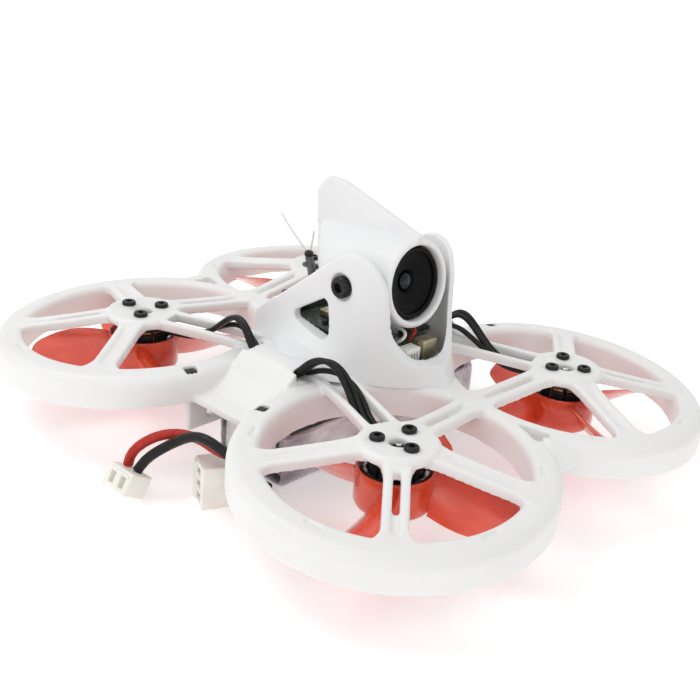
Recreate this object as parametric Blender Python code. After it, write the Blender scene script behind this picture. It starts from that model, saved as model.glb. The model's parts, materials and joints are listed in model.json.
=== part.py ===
"""Ducted micro racing drone, 76 mm between opposite motors, standing on its battery.

Units in this file are millimetres; finish() turns them into metres.
Front is -Y, the drone's left is +X. Heights are counted from the plane of the
duct lips at the motor axes, and LIP_HEIGHT lifts everything so that the
battery's underside is at z = 0.
"""
import math

import bmesh
import bpy
from mathutils import Matrix, Vector

MM = 0.001
GAP = 0.3                      # clearance between neighbouring pieces

# Driving dimensions ---------------------------------------------------------
BATTERY_SIZE = (51.0, 17.0, 11.0)
LIP_HEIGHT = 16.8              # duct lips above the surface it stands on
BATTERY_BOTTOM = -LIP_HEIGHT
BATTERY_END_X = -24.0          # the end its leads come out of
BATTERY_TOP = BATTERY_BOTTOM + BATTERY_SIZE[2]

MOTOR_X, MOTOR_Y = 22.0, 31.0  # motor axes
CORNERS = {"front_right": (-1, -1), "rear_right": (-1, 1),
           "front_left": (1, -1), "rear_left": (1, 1)}
DROOP = 0.07                   # ducts hang down this much per mm outwards
DIAGONAL = math.hypot(MOTOR_X, MOTOR_Y)

THROAT_R = 20.3
DUCT_R = 25.1
DUCT_HEIGHT = 5.6
DUCT_WALL = 1.0
DUCT_SEGMENTS = 32

HUB_R = 6.5
HUB_TOP = 2.3
HUB_BOTTOM = 0.6
CHANNEL_ANGLE = 250            # the strut that carries the motor leads
STRUT_ANGLES = (41.5, 113, 188, CHANNEL_ANGLE, 325)
STRUT_START = 5.2
MOUNT_SCREW_ANGLES = (75, 195, 315)
MOUNT_SCREW_CIRCLE_R = 3.3

PROPELLER_R = 19.7
CUP_R = 6.15
CUP_TOP, CUP_BOTTOM = -2.0, -8.4
BELL_R = 5.4
BELL_TOP, BELL_BOTTOM = -2.3, -6.9
SHAFT_R = 0.5
STATOR_ARMS = 9
MAGNETS = 12

DECK_TOP, DECK_THICKNESS = 1.0, 1.4
BOARD_BOTTOM, BOARD_THICKNESS = 1.7, 0.9
UPPER_BOARD_BOTTOM = 5.3
CANOPY_BASE = 3.3
CANOPY_BASE_THICKNESS = 1.2
EAR_INNER_X, EAR_OUTER_X = 9.0, 10.5
NOSE_CENTRE_Y = -8.5
NOSE_INNER_R = 9.45
CANOPY_SCREW = (0.0, 17.4)

PIVOT = Vector((0.0, -6.0, 15.9))
CAMERA_PITCH = math.radians(8)
LENS_CENTRE = Vector((0.0, -13.7, 16.7))
SHELL_FRONT_R, SHELL_REAR_R = 7.6, 8.4
SHELL_LENGTH = 23.4
TAIL_START = 13.0
SHELL_WALL = 1.2

MOTOR_LEAD_R = 0.48
POWER_LEAD_R = 0.82
BALANCE_LEAD_R = 0.5


# Scene and materials --------------------------------------------------------
def clear_scene():
    for obj in list(bpy.data.objects):
        bpy.data.objects.remove(obj)


def material(name, colour, roughness, metallic=0.0):
    mat = bpy.data.materials.new(name)
    mat.use_nodes = True
    shader = mat.node_tree.nodes["Principled BSDF"]
    shader.inputs["Base Color"].default_value = (*colour, 1.0)
    shader.inputs["Roughness"].default_value = roughness
    shader.inputs["Metallic"].default_value = metallic
    mat.diffuse_color = (*colour, 1.0)
    return mat


def make_materials():
    return {
        "white_plastic": material("white_plastic", (0.87, 0.86, 0.83), 0.5),
        "propeller": material("propeller", (0.85, 0.16, 0.06), 0.25),
        "black_metal": material("black_metal", (0.03, 0.03, 0.03), 0.35, 0.8),
        "bell": material("bell", (0.08, 0.08, 0.09), 0.3, 0.9),
        "copper": material("copper", (0.72, 0.33, 0.15), 0.3, 1.0),
        "black_wire": material("black_wire", (0.02, 0.02, 0.02), 0.45),
        "red_wire": material("red_wire", (0.5, 0.03, 0.01), 0.45),
        "circuit_board": material("circuit_board", (0.02, 0.03, 0.025), 0.4),
        "chip": material("chip", (0.04, 0.04, 0.045), 0.5),
        "shield": material("shield", (0.55, 0.5, 0.36), 0.3, 0.9),
        "camera_black": material("camera_black", (0.02, 0.02, 0.022), 0.35),
        "glass": material("glass", (0.01, 0.015, 0.03), 0.05),
        "nylon": material("nylon", (0.85, 0.85, 0.8), 0.4),
        "shrink_wrap": material("shrink_wrap", (0.55, 0.52, 0.55), 0.35),
        "cell_foil": material("cell_foil", (0.6, 0.6, 0.62), 0.3, 0.9),
        "rubber": material("rubber", (0.05, 0.05, 0.05), 0.8),
        "sleeve": material("sleeve", (0.25, 0.25, 0.25), 0.6),
        "whisker": material("whisker", (0.8, 0.8, 0.78), 0.4),
    }


# Mesh helpers ---------------------------------------------------------------
def to_object(bm, name):
    """Turn an edit mesh into a scene object, its faces pointing out."""
    bmesh.ops.recalc_face_normals(bm, faces=bm.faces)
    mesh = bpy.data.meshes.new(name)
    bm.to_mesh(mesh)
    bm.free()
    obj = bpy.data.objects.new(name, mesh)
    bpy.context.scene.collection.objects.link(obj)
    return obj


def finish(obj, mat, origin=(0.0, 0.0, 0.0), sharp_degrees=35):
    """Scale to metres, put the object's origin at `origin` and dress it."""
    origin = Vector(origin)
    mesh = obj.data
    mesh.transform(Matrix.Scale(MM, 4) @ Matrix.Translation(-origin))
    obj.location = (origin + Vector((0, 0, LIP_HEIGHT))) * MM
    mesh.materials.clear()
    mesh.materials.append(mat)
    mesh.shade_smooth()
    mesh.set_sharp_from_angle(angle=math.radians(sharp_degrees))
    return obj


def combine(target, tool, operation):
    """Boolean `tool` into `target` and drop the tool."""
    modifier = target.modifiers.new("combine", "BOOLEAN")
    modifier.operation = operation
    modifier.object = tool
    bpy.context.view_layer.update()
    evaluated = target.evaluated_get(bpy.context.evaluated_depsgraph_get())
    result = bpy.data.meshes.new_from_object(evaluated)
    target.modifiers.clear()
    target.data = result
    bpy.data.objects.remove(tool)
    return target


def cut(target, *tools):
    for tool in tools:
        combine(target, tool, "DIFFERENCE")
    return target


def unite(target, *tools):
    for tool in tools:
        combine(target, tool, "UNION")
    return target


def box(low, high, name="box"):
    bm = bmesh.new()
    bmesh.ops.create_cube(bm, size=1.0)
    low, high = Vector(low), Vector(high)
    bmesh.ops.scale(bm, vec=high - low, verts=bm.verts)
    bmesh.ops.translate(bm, vec=(low + high) / 2, verts=bm.verts)
    return to_object(bm, name)


def bevelled_box(low, high, bevel, name="box", segments=2):
    obj = box(low, high, name)
    bm = bmesh.new()
    bm.from_mesh(obj.data)
    bmesh.ops.bevel(bm, geom=bm.edges, offset=bevel, segments=segments,
                    profile=0.5, affect="EDGES")
    bm.to_mesh(obj.data)
    bm.free()
    return obj


def turned(profile, segments, name="turned", centre=(0, 0)):
    """Revolve a closed (radius, height) outline about a vertical axis.

    A point on the axis itself becomes one shared vertex.
    """
    bm = bmesh.new()
    rings = []
    for radius, height in profile:
        if radius < 1e-6:
            rings.append([bm.verts.new((centre[0], centre[1], height))] * segments)
            continue
        ring = []
        for step in range(segments):
            angle = 2 * math.pi * step / segments
            ring.append(bm.verts.new((centre[0] + radius * math.cos(angle),
                                      centre[1] + radius * math.sin(angle), height)))
        rings.append(ring)
    for index, ring in enumerate(rings):
        following = rings[(index + 1) % len(rings)]
        if ring[0] is ring[1] and following[0] is following[1]:
            continue
        for step in range(segments):
            after = (step + 1) % segments
            corners = [ring[step], ring[after], following[after], following[step]]
            unique = list(dict.fromkeys(corners))
            bm.faces.new(unique)
    return to_object(bm, name)


def cylinder(radius, low, high, segments, centre=(0, 0), name="cylinder"):
    return turned([(0, low), (radius, low), (radius, high), (0, high)],
                  segments, name, centre)


def prism(outline, low, high, axis="Z", name="prism"):
    """Extrude a closed 2-D outline along an axis.

    The outline is (x, y) for Z, (y, z) for X and (x, z) for Y.
    """
    place = {"Z": lambda a, b, c: (a, b, c),
             "X": lambda a, b, c: (c, a, b),
             "Y": lambda a, b, c: (a, c, b)}[axis]
    bm = bmesh.new()
    bottom = [bm.verts.new(place(a, b, low)) for a, b in outline]
    top = [bm.verts.new(place(a, b, high)) for a, b in outline]
    bm.faces.new(bottom)
    bm.faces.new(top[::-1])
    count = len(outline)
    for index in range(count):
        after = (index + 1) % count
        bm.faces.new([bottom[index], bottom[after], top[after], top[index]])
    return to_object(bm, name)


def rounded(corners, segments=4):
    """Outline from (a, b, fillet radius) corners, with arcs at the corners."""
    points = []
    count = len(corners)
    for index, (a, b, radius) in enumerate(corners):
        here = Vector((a, b))
        if radius <= 0:
            points.append((a, b))
            continue
        before = (Vector(corners[index - 1][:2]) - here).normalized()
        after = (Vector(corners[(index + 1) % count][:2]) - here).normalized()
        half = before.angle(after) / 2
        centre = here + (before + after).normalized() * (radius / math.sin(half))
        start = here + before * (radius / math.tan(half)) - centre
        end = here + after * (radius / math.tan(half)) - centre
        sweep = start.angle_signed(end)
        for step in range(segments + 1):
            angle = -sweep * step / segments
            turn = Matrix.Rotation(angle, 2)
            points.append(tuple(centre + turn @ start))
    return points


def rotated(obj, matrix):
    obj.data.transform(matrix)
    return obj


def smooth_route(points, spacing):
    """Points about `spacing` apart along a cubic B-spline that a route steers."""
    ends = [2 * points[0] - points[1]] + points + [2 * points[-1] - points[-2]]
    fine = []
    for index in range(1, len(ends) - 2):
        p0, p1, p2, p3 = ends[index - 1:index + 3]
        for step in range(12):
            t = step / 12
            fine.append(((1 - t) ** 3 * p0 + (3 * t ** 3 - 6 * t ** 2 + 4) * p1
                         + (-3 * t ** 3 + 3 * t ** 2 + 3 * t + 1) * p2 + t ** 3 * p3) / 6)
    fine.append(ends[-2])
    kept, travelled = [fine[0]], 0.0
    for before, after in zip(fine, fine[1:]):
        travelled += (after - before).length
        if travelled >= spacing:
            kept.append(after)
            travelled = 0.0
    if travelled < spacing * 0.4:
        kept.pop()
    kept.append(fine[-1])
    return kept


def wire(name, route, radius, mat, resolution=2):
    """A round wire as a bevelled curve with closed ends, in metres."""
    curve = bpy.data.curves.new(name, "CURVE")
    curve.dimensions = "3D"
    curve.bevel_depth = radius * MM
    curve.bevel_resolution = resolution
    curve.use_fill_caps = True
    points = smooth_route([Vector(point) for point in route], radius * 4)
    spline = curve.splines.new("POLY")
    spline.points.add(len(points) - 1)
    for target, point in zip(spline.points, points):
        target.co = (*((point + Vector((0, 0, LIP_HEIGHT))) * MM), 1.0)
    if mat:
        curve.materials.append(mat)
    obj = bpy.data.objects.new(name, curve)
    bpy.context.scene.collection.objects.link(obj)
    return obj


def wire_solid(route, radius, resolution=1):
    """The same wire as a closed mesh in millimetres, for uniting with others."""
    curve_object = wire("strand", route, radius, None, resolution)
    bpy.context.view_layer.update()
    evaluated = curve_object.evaluated_get(bpy.context.evaluated_depsgraph_get())
    bm = bmesh.new()
    bm.from_mesh(evaluated.to_mesh())
    bpy.data.objects.remove(curve_object)
    to_millimetres = Matrix.Translation((0, 0, -LIP_HEIGHT)) @ Matrix.Scale(1 / MM, 4)
    bmesh.ops.transform(bm, matrix=to_millimetres, verts=bm.verts)
    bmesh.ops.remove_doubles(bm, verts=bm.verts, dist=1e-4)
    return to_object(bm, "strand")


# Frame ----------------------------------------------------------------------
def droop(x, y):
    """Height of the frame at (x, y) over its height at the motor axes."""
    reach = (abs(x) * MOTOR_X + abs(y) * MOTOR_Y) / DIAGONAL
    return DROOP * (DIAGONAL - reach)


def apply_droop(obj):
    for vertex in obj.data.vertices:
        vertex.co.z += droop(vertex.co.x, vertex.co.y)
    return obj


def motor_axis(corner):
    side, end = CORNERS[corner]
    return Vector((side * MOTOR_X, end * MOTOR_Y, 0))


def corner_direction(corner, degrees):
    """Unit vector at an angle that is mirrored from corner to corner."""
    side, end = CORNERS[corner]
    angle = math.radians(degrees)
    return Vector((side * math.cos(angle), end * math.sin(angle), 0))


def duct_profile():
    lip = [(THROAT_R, -DUCT_HEIGHT), (THROAT_R, -0.8), (THROAT_R + 1.3, 0.0),
           (DUCT_R - 1.4, -0.2), (DUCT_R, -1.6), (DUCT_R, -DUCT_HEIGHT)]
    hollow = [(DUCT_R - DUCT_WALL, -DUCT_HEIGHT), ((THROAT_R + DUCT_R) / 2, -1.6),
              (THROAT_R + DUCT_WALL, -DUCT_HEIGHT)]
    return lip + hollow


def bridge_window():
    """Cutter for the small triangular window between neighbouring ducts."""
    return [prism(rounded([(0, end * 36.6, 0.4), (end * 2.1, end * 42.4, 0.5),
                           (-end * 2.1, end * 42.4, 0.5)], 2), -9, 4)
            for end in (-1, 1)]


def lead_slot(corner, start, stop, low, half_width):
    """Box cutter along the strut that carries the motor leads."""
    axis = motor_axis(corner)
    along = corner_direction(corner, CHANNEL_ANGLE)
    across = Vector((-along.y, along.x, 0)) * half_width
    outline = [axis + along * start - across, axis + along * stop - across,
               axis + along * stop + across, axis + along * start + across]
    return prism([(p.x, p.y) for p in outline], low, 6)


def make_duct(corner, mats):
    side, end = CORNERS[corner]
    axis = motor_axis(corner)
    duct = turned(duct_profile(), DUCT_SEGMENTS, "duct_" + corner, (axis.x, axis.y))
    keep_out = GAP / 2
    beyond = 10
    low_x, high_x = sorted((-side * beyond, side * keep_out))
    cut(duct, box((low_x, -60, -9), (high_x, 60, 6)))
    cut(duct, lead_slot(corner, THROAT_R - 2, DUCT_R + 2, -1.0, 1.7))
    front, rear = bridge_window()
    if end < 0:
        cut(duct, front)
        bpy.data.objects.remove(rear)
    else:
        cut(duct, rear)
        bpy.data.objects.remove(front)
    apply_droop(duct)
    return finish(duct, mats["white_plastic"], (axis.x, axis.y, 0))


def strut(corner, degrees, width, groove, middle, end):
    """One strut, a U-shaped bar that runs from the hub out to the duct's lip.

    Its top lies at `middle` just outside the hub and at `end` where it stops.
    """
    axis = motor_axis(corner)
    along = corner_direction(corner, degrees)
    across = Vector((-along.y, along.x, 0))
    half, inner = width / 2, groove / 2
    section = [(-half, 0), (-inner, 0), (-inner, -0.8), (inner, -0.8), (inner, 0),
               (half, 0), (half, -1.6), (-half, -1.6)]
    stop = math.sqrt((THROAT_R - GAP) ** 2 - half ** 2)
    bm = bmesh.new()
    rings = []
    for reach, top in ((STRUT_START, HUB_TOP), (HUB_R + 1.5, middle), (stop, end)):
        ring = []
        for offset, drop in section:
            spot = axis + along * reach + across * offset
            lift = droop(spot.x, spot.y)
            ring.append(bm.verts.new((spot.x, spot.y, top + drop + lift)))
        rings.append(ring)
    for ring, following in zip(rings, rings[1:]):
        for index in range(len(section)):
            after = (index + 1) % len(section)
            bm.faces.new([ring[index], ring[after], following[after], following[index]])
    bm.faces.new(rings[0])
    bm.faces.new(rings[-1])
    return to_object(bm, "strut")


def make_motor_mount(corner, mats):
    axis = motor_axis(corner)
    mount = turned([(0, HUB_BOTTOM), (HUB_R - 0.3, HUB_BOTTOM), (HUB_R, HUB_BOTTOM + 0.3),
                    (HUB_R, HUB_TOP - 0.4), (HUB_R - 0.4, HUB_TOP), (0, HUB_TOP)],
                   20, "motor_mount_" + corner, (axis.x, axis.y))
    for degrees in STRUT_ANGLES:
        if degrees == CHANNEL_ANGLE:
            unite(mount, strut(corner, degrees, 5.4, 3.4, 1.7, 0.9))
        else:
            unite(mount, strut(corner, degrees, 3.8, 1.3, 1.9, -0.1))
    cut(mount, cylinder(1.5, -3, 6, 10, (axis.x, axis.y)))
    cut(mount, lead_slot(corner, 6.6, 15.5, -6, 1.66))
    for degrees in MOUNT_SCREW_ANGLES:
        spot = axis + corner_direction(corner, degrees) * MOUNT_SCREW_CIRCLE_R
        cut(mount, cylinder(0.85, -3, 6, 6, (spot.x, spot.y)))
    return finish(mount, mats["white_plastic"], (axis.x, axis.y, 0))


def duct_clearance(low, high):
    """Four cylinders that keep a piece clear of the ducts."""
    return [cylinder(DUCT_R + GAP, low, high, DUCT_SEGMENTS,
                     (side * MOTOR_X, end * MOTOR_Y)) for side, end in CORNERS.values()]


def make_deck(mats):
    """Centre plate, lower side webs, and the walls that hold the battery."""
    half_section = [(17.5, DECK_TOP), (20.0, 0.4), (24.5, -2.4), (29.5, -3.4)]
    underside = [(x, z - DECK_THICKNESS) for x, z in reversed(half_section)]
    right_half = half_section + underside
    left_half = [(-x, z) for x, z in reversed(right_half)]
    plate = prism(right_half + left_half, -19.5, 19.5, "Y", "centre_deck")
    rear_wall = box((-29.0, 8.9, -10.9), (29.0, 10.1, DECK_TOP - 0.5))
    front_wall = box((-6.5, -10.1, -9.4), (6.5, -8.9, DECK_TOP - 0.5))
    unite(plate, front_wall, rear_wall)
    cut(plate, *duct_clearance(-5.2, 6))
    for side in (-1, 1):
        hole = Matrix.Translation((side * 24.3, 0, -8.5)) @ Matrix.Rotation(-math.pi / 2, 4, "X")
        cut(plate, rotated(cylinder(0.8, 7, 12, 12), hole))
    for spot in grommet_spots():
        cut(plate, cylinder(1.0, -3, 4, 10, spot))
    return finish(plate, mats["white_plastic"])


def make_bridges(mats):
    """The webs that close the gap between the two front and two rear ducts."""
    for name, end in (("duct_bridge_front", -1), ("duct_bridge_rear", 1)):
        reach = 48.3
        web = prism([(-16, end * 44), (-8, end * 46.6), (0, end * reach), (8, end * 46.6),
                     (16, end * 44), (16, end * 38), (-16, end * 38)], -DUCT_HEIGHT, -0.1)
        cut(web, *duct_clearance(-12, 6))
        cut(web, cylinder(17.5, -12, 6, 40, (0, end * (reach + 17.2))))
        hollow = prism([(-5.5, end * 43.9), (5.5, end * 43.9), (3.6, end * 46.6),
                        (-3.6, end * 46.6)], -9, -1.5)
        cut(web, hollow)
        arch = prism(rounded([(-6.5, -9, 0), (-6.5, -2.6, 3.0), (6.5, -2.6, 3.0),
                              (6.5, -9, 0)], 3), *sorted((end * 46, end * 60)), "Y")
        cut(web, arch)
        web.name = name
        finish(apply_droop(web), mats["white_plastic"])


# Motors and propellers ------------------------------------------------------
def make_stator(corner, mats):
    """Base, bearing tube and iron core of one motor, fixed under its mount."""
    axis = motor_axis(corner)
    tooth_r, head_r = 3.2, 3.9
    outline = []
    for arm in range(STATOR_ARMS):
        middle = 2 * math.pi * arm / STATOR_ARMS
        for radius, offset in ((1.75, -0.35), (tooth_r, -0.35), (head_r, -1.1),
                               (head_r, 1.1), (tooth_r, 0.35), (1.75, 0.35)):
            angle = middle + math.atan2(offset, radius)
            reach = math.hypot(radius, offset)
            outline.append((axis.x + reach * math.cos(angle),
                            axis.y + reach * math.sin(angle)))
    core = prism(outline, -3.3, -1.4, "Z", "motor_stator_" + corner)
    centre = (axis.x, axis.y)
    base = turned([(0, -0.5), (4.7, -0.5), (4.7, 0.3), (0, 0.3)], 18, "base", centre)
    unite(core, cylinder(1.6, -4.6, 0.0, 12, centre), base)
    cut(core, cylinder(SHAFT_R + 0.35, -6, 2, 8, centre))
    for degrees in MOUNT_SCREW_ANGLES:
        spot = axis + corner_direction(corner, degrees) * MOUNT_SCREW_CIRCLE_R
        cut(core, cylinder(0.85, -0.6, 2, 6, (spot.x, spot.y)))
    return finish(core, mats["black_metal"], axis)


def make_windings(corner, mats):
    """Coil sides in the slots of the core, under the ring of their end turns."""
    axis = motor_axis(corner)
    inner_r, outer_r, top = 2.3, 3.0, -0.85
    windings = turned([(inner_r, top - 0.3), (outer_r, top - 0.3), (outer_r, top),
                       (inner_r, top)], STATOR_ARMS * 2, "motor_windings_" + corner,
                      (axis.x, axis.y))
    for slot in range(STATOR_ARMS):
        angle = 2 * math.pi * (slot + 0.5) / STATOR_ARMS
        side = box((inner_r + 0.1, -0.4, -3.7), (outer_r - 0.1, 0.4, top - 0.1))
        unite(windings, rotated(side, Matrix.Translation(axis)
                                @ Matrix.Rotation(angle, 4, "Z")))
    return finish(windings, mats["copper"], axis)


def make_bell(corner, mats):
    """Turning half of a motor: cup, shaft and twelve magnets."""
    axis = motor_axis(corner)
    centre = (axis.x, axis.y)
    inner_r = 5.02
    floor = BELL_BOTTOM + 0.8
    profile = [(0, BELL_BOTTOM - 1.2), (SHAFT_R, BELL_BOTTOM - 1.2), (SHAFT_R, BELL_BOTTOM),
               (BELL_R - 0.5, BELL_BOTTOM), (BELL_R, BELL_BOTTOM + 0.5), (BELL_R, BELL_TOP),
               (inner_r, BELL_TOP), (inner_r, floor), (SHAFT_R, floor),
               (SHAFT_R, HUB_TOP - 0.5), (0, HUB_TOP - 0.5)]
    bell = turned(profile, 18, "motor_bell_" + corner, centre)
    for step in range(MAGNETS):
        angle = 2 * math.pi * step / MAGNETS
        block = box((4.3, -0.9, floor + 0.4), (inner_r + 0.1, 0.9, BELL_TOP - 0.3))
        unite(bell, rotated(block, Matrix.Translation(axis)
                            @ Matrix.Rotation(angle, 4, "Z")))
    return finish(bell, mats["bell"], axis)


def blade(turn_sign, degrees):
    """One steep, wide blade, a loft of four-cornered sections."""
    root_r = CUP_R - 0.25
    bm = bmesh.new()
    rings = []
    stations = 5
    for step in range(stations):
        share = step / (stations - 1)
        radius = root_r + (PROPELLER_R - root_r) * share
        chord = 7.0 + 3.2 * math.sin(math.pi * min(1.0, share * 1.05)) - 1.6 * share
        pitch = math.radians(52 - 26 * share)
        thickness = 0.9 - 0.35 * share
        sweep = -1.6 * share ** 2
        middle = -5.2 - 0.35 * share
        forward = Vector((0, math.cos(pitch), math.sin(pitch)))
        normal = Vector((0, -math.sin(pitch), math.cos(pitch)))
        ring = []
        for along, off in ((-0.5, 0), (0.1, 0.5), (0.5, 0), (0.1, -0.5)):
            point = Vector((radius, sweep, middle)) + forward * (along * chord)
            point += normal * (off * thickness)
            limit = math.sqrt(max(0.0, PROPELLER_R ** 2 - point.y ** 2))
            point.x = min(point.x, limit)
            point.y *= turn_sign
            ring.append(bm.verts.new(point))
        rings.append(ring)
    for ring, following in zip(rings, rings[1:]):
        for index in range(4):
            after = (index + 1) % 4
            bm.faces.new([ring[index], ring[after], following[after], following[index]])
    bm.faces.new(rings[0])
    bm.faces.new(rings[-1])
    obj = to_object(bm, "blade")
    return rotated(obj, Matrix.Rotation(math.radians(degrees), 4, "Z"))


def make_propeller(corner, mats):
    side, end = CORNERS[corner]
    axis = motor_axis(corner)
    inner_r = BELL_R + GAP
    cup = turned([(SHAFT_R + GAP, CUP_BOTTOM), (CUP_R - 0.6, CUP_BOTTOM),
                  (CUP_R, CUP_BOTTOM + 0.6), (CUP_R, CUP_TOP), (inner_r, CUP_TOP),
                  (inner_r, BELL_BOTTOM - GAP), (SHAFT_R + GAP, BELL_BOTTOM - GAP)],
                 24, "propeller_" + corner)
    first = 25 if side * end > 0 else -25
    for step in range(4):
        unite(cup, blade(side * end, first + 90 * step))
    cut(cup, cylinder(inner_r, BELL_BOTTOM - GAP, 4, 24))
    rotated(cup, Matrix.Translation(axis))
    return finish(cup, mats["propeller"], axis)


def make_mount_screws(corner, mats):
    """Three button-head screws that hold a motor, on one thin locking ring."""
    axis = motor_axis(corner)
    low = HUB_TOP + 0.1
    inner_r, outer_r = MOUNT_SCREW_CIRCLE_R - 0.2, MOUNT_SCREW_CIRCLE_R + 0.2
    screws = turned([(inner_r, low), (outer_r, low), (outer_r, low + 0.2),
                     (inner_r, low + 0.2)], 12, "mount_screws_" + corner, (axis.x, axis.y))
    for degrees in MOUNT_SCREW_ANGLES:
        spot = axis + corner_direction(corner, degrees) * MOUNT_SCREW_CIRCLE_R
        screw = turned([(0, 0.0), (0.55, 0.0), (0.55, low), (1.2, low), (1.2, low + 0.6),
                        (0.75, low + 1.0), (0.4, low + 0.5), (0, low + 0.5)],
                       8, "screw", (spot.x, spot.y))
        unite(screws, screw)
    return finish(screws, mats["black_metal"], axis)


def lead_routes(corner):
    """Centre lines of a motor's three leads, from their connector to the stator.

    They arch over the duct's lip and drop through the slot of the channel strut.
    """
    side, end = CORNERS[corner]
    middle = [(17.85, 4.6, 2.0), (17.8, 6.0, 2.6), (17.4, 8.2, 5.3), (16.8, 11.0, 6.3),
              (16.4, 13.4, 5.4), (16.5, 15.6, 3.6), (17.0, 17.6, 1.7), (17.7, 19.5, 0.3),
              (18.4, 21.5, -0.4), (19.5, 24.6, -0.45), (20.2, 26.1, -0.4)]
    routes = []
    for spread, rise in ((-1.03, 0.5), (0.0, 1.0), (1.03, 1.08)):
        route = []
        for x, y, z in middle:
            height = 2.0 + (z - 2.0) * rise if z > 2.0 else z
            route.append(Vector((side * (x + 0.94 * spread), end * (y - 0.34 * spread), height)))
        routes.append(route)
    return routes


def make_motor_leads(corner, mats):
    """Three leads and their connector, over the duct's lip and down the channel."""
    side, end = CORNERS[corner]
    low_x, high_x = sorted((side * 16.2, side * 19.5))
    low_y, high_y = sorted((end * 3.3, end * 5.1))
    leads = bevelled_box((low_x, low_y, 1.3), (high_x, high_y, 2.7), 0.2,
                         "motor_leads_" + corner, 1)
    for route in lead_routes(corner):
        unite(leads, wire_solid(route, MOTOR_LEAD_R))
    return finish(leads, mats["black_wire"])


# Electronics ----------------------------------------------------------------
def grommet_spots():
    return [(14.4, 0), (0, 14.4), (-14.4, 0), (0, -14.4)]


def make_flight_controller(mats):
    """Square board turned 45 degrees with its small parts, processor and mounts."""
    half = 18.2
    low, high = BOARD_BOTTOM, BOARD_BOTTOM + BOARD_THICKNESS
    board = prism(rounded([(half, 0, 1.5), (0, half, 1.5), (-half, 0, 1.5),
                           (0, -half, 1.5)], 3), low, high, "Z", "flight_controller_board")
    for x in (-6.1, 6.1):
        for y in (-5.1, 3.2):
            unite(board, box((x - 1.5, y - 1.5, low + 0.2), (x + 1.5, y + 1.5, high + 0.8)))
    socket = bevelled_box((-3.8, -13.0, low + 0.2), (3.8, -7.6, high + 2.4), 0.5, segments=1)
    cut(socket, box((-3.2, -14.0, high + 0.5), (3.2, -8.4, high + 1.9)))
    unite(board, socket)
    for spot in grommet_spots():
        cut(board, cylinder(1.6, -2, 6, 12, spot))
    finish(board, mats["circuit_board"])
    processor = bevelled_box((-3.5, -3.5, high + 0.05), (3.5, 3.5, high + 0.95), 0.15,
                             "processor_chip", 1)
    finish(processor, mats["chip"])
    make_board_gasket(high, mats)


def make_board_gasket(board_top, mats):
    """Rubber gasket: four grommets through the board, on one square band."""
    reach = grommet_spots()[0][0]
    low, high = DECK_TOP + 0.1, BOARD_BOTTOM - 0.1
    gasket = prism([(reach, 0), (0, reach), (-reach, 0), (0, -reach)], low + 0.1,
                   high - 0.1, "Z", "board_gasket")
    inner = reach - 1.6
    cut(gasket, prism([(inner, 0), (0, inner), (-inner, 0), (0, -inner)], 0, 3))
    for spot in grommet_spots():
        unite(gasket, turned([(0, low), (1.9, low), (1.9, high), (1.3, high),
                              (1.3, board_top + 0.4), (0, board_top + 0.4)], 8,
                             "grommet", spot))
    finish(gasket, mats["rubber"])


def make_video_transmitter(mats):
    """Upper board on four posts with its front sockets, its can, the capacitor."""
    low = UPPER_BOARD_BOTTOM
    board = bevelled_box((-8.3, -10.4, low), (8.3, 7.4, low + 0.8), 0.2,
                         "video_transmitter_board", 1)
    unite(board, box((-5.0, -13.6, low + 0.05), (5.0, -10.1, low + 0.75)))
    unite(board, bevelled_box((-4.0, -15.9, 3.4), (3.8, -13.1, low + 0.2), 0.2, segments=1))
    for x in (-6.9, 6.9):
        for y in (-9.2, 6.0):
            unite(board, cylinder(0.9, BOARD_BOTTOM + BOARD_THICKNESS + 0.05, low + 0.2,
                                  8, (x, y)))
    finish(board, mats["circuit_board"])
    can = bevelled_box((-4.5, -5.0, low + 0.85), (4.5, 4.5, low + 2.0), 0.25,
                       "video_transmitter_can", 1)
    finish(can, mats["shield"])
    capacitor = cylinder(1.5, -3.2, 3.2, 12, name="power_capacitor")
    finish(rotated(capacitor, Matrix.Translation((0, 9.6, 5.0))
                   @ Matrix.Rotation(math.pi / 2, 4, "Y")), mats["chip"])


def make_antenna(mats):
    wire("antenna_sleeve", [(0, 11.9, 7.6), (0, 11.3, 9.0), (0, 11.3, 10.6),
                            (0, 11.9, 12.2), (0, 12.4, 13.6)], 0.75, mats["sleeve"])
    antenna = wire_solid([(0, 12.5, 14.0), (-0.3, 13.4, 14.9), (-0.6, 15.0, 16.4),
                          (-0.7, 17.4, 18.2), (-0.4, 19.8, 19.8)], 0.22)
    unite(antenna, wire_solid([(0, 12.5, 14.05), (0.3, 12.4, 15.4), (0.5, 12.3, 16.8),
                               (0.6, 12.2, 18.4)], 0.23))
    antenna.name = "antenna_wire"
    finish(antenna, mats["whisker"])


# Canopy and camera ----------------------------------------------------------
def canopy_wall():
    """Two ears joined by a half-round nose, with a wide U cut below the camera."""
    outer = [(EAR_OUTER_X, 16.0), (-EAR_OUTER_X, 16.0)]
    outer += arc_points(EAR_OUTER_X, math.pi, 2 * math.pi)
    half_nose = math.acos(EAR_INNER_X / NOSE_INNER_R)
    inner = [(EAR_INNER_X, 18.0), (-EAR_INNER_X, 18.0)]
    inner += arc_points(NOSE_INNER_R, math.pi + half_nose, 2 * math.pi - half_nose)
    wall = prism(outer, CANOPY_BASE, 27.0)
    cut(wall, prism(inner, CANOPY_BASE - 1, 28.0))
    side_view = rounded([(-20.5, CANOPY_BASE - 0.5, 0), (-20.5, 4.5, 0), (-17.6, 4.6, 2.2),
                         (-14.9, 9.5, 8), (-14.1, 17.2, 6), (-10.2, 25.2, 5.2), (9.2, 9.4, 5),
                         (14.2, 5.4, 2), (14.6, CANOPY_BASE - 0.5, 0)], 4)
    return combine(wall, prism(side_view, -12, 12, "X"), "INTERSECT")


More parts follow.
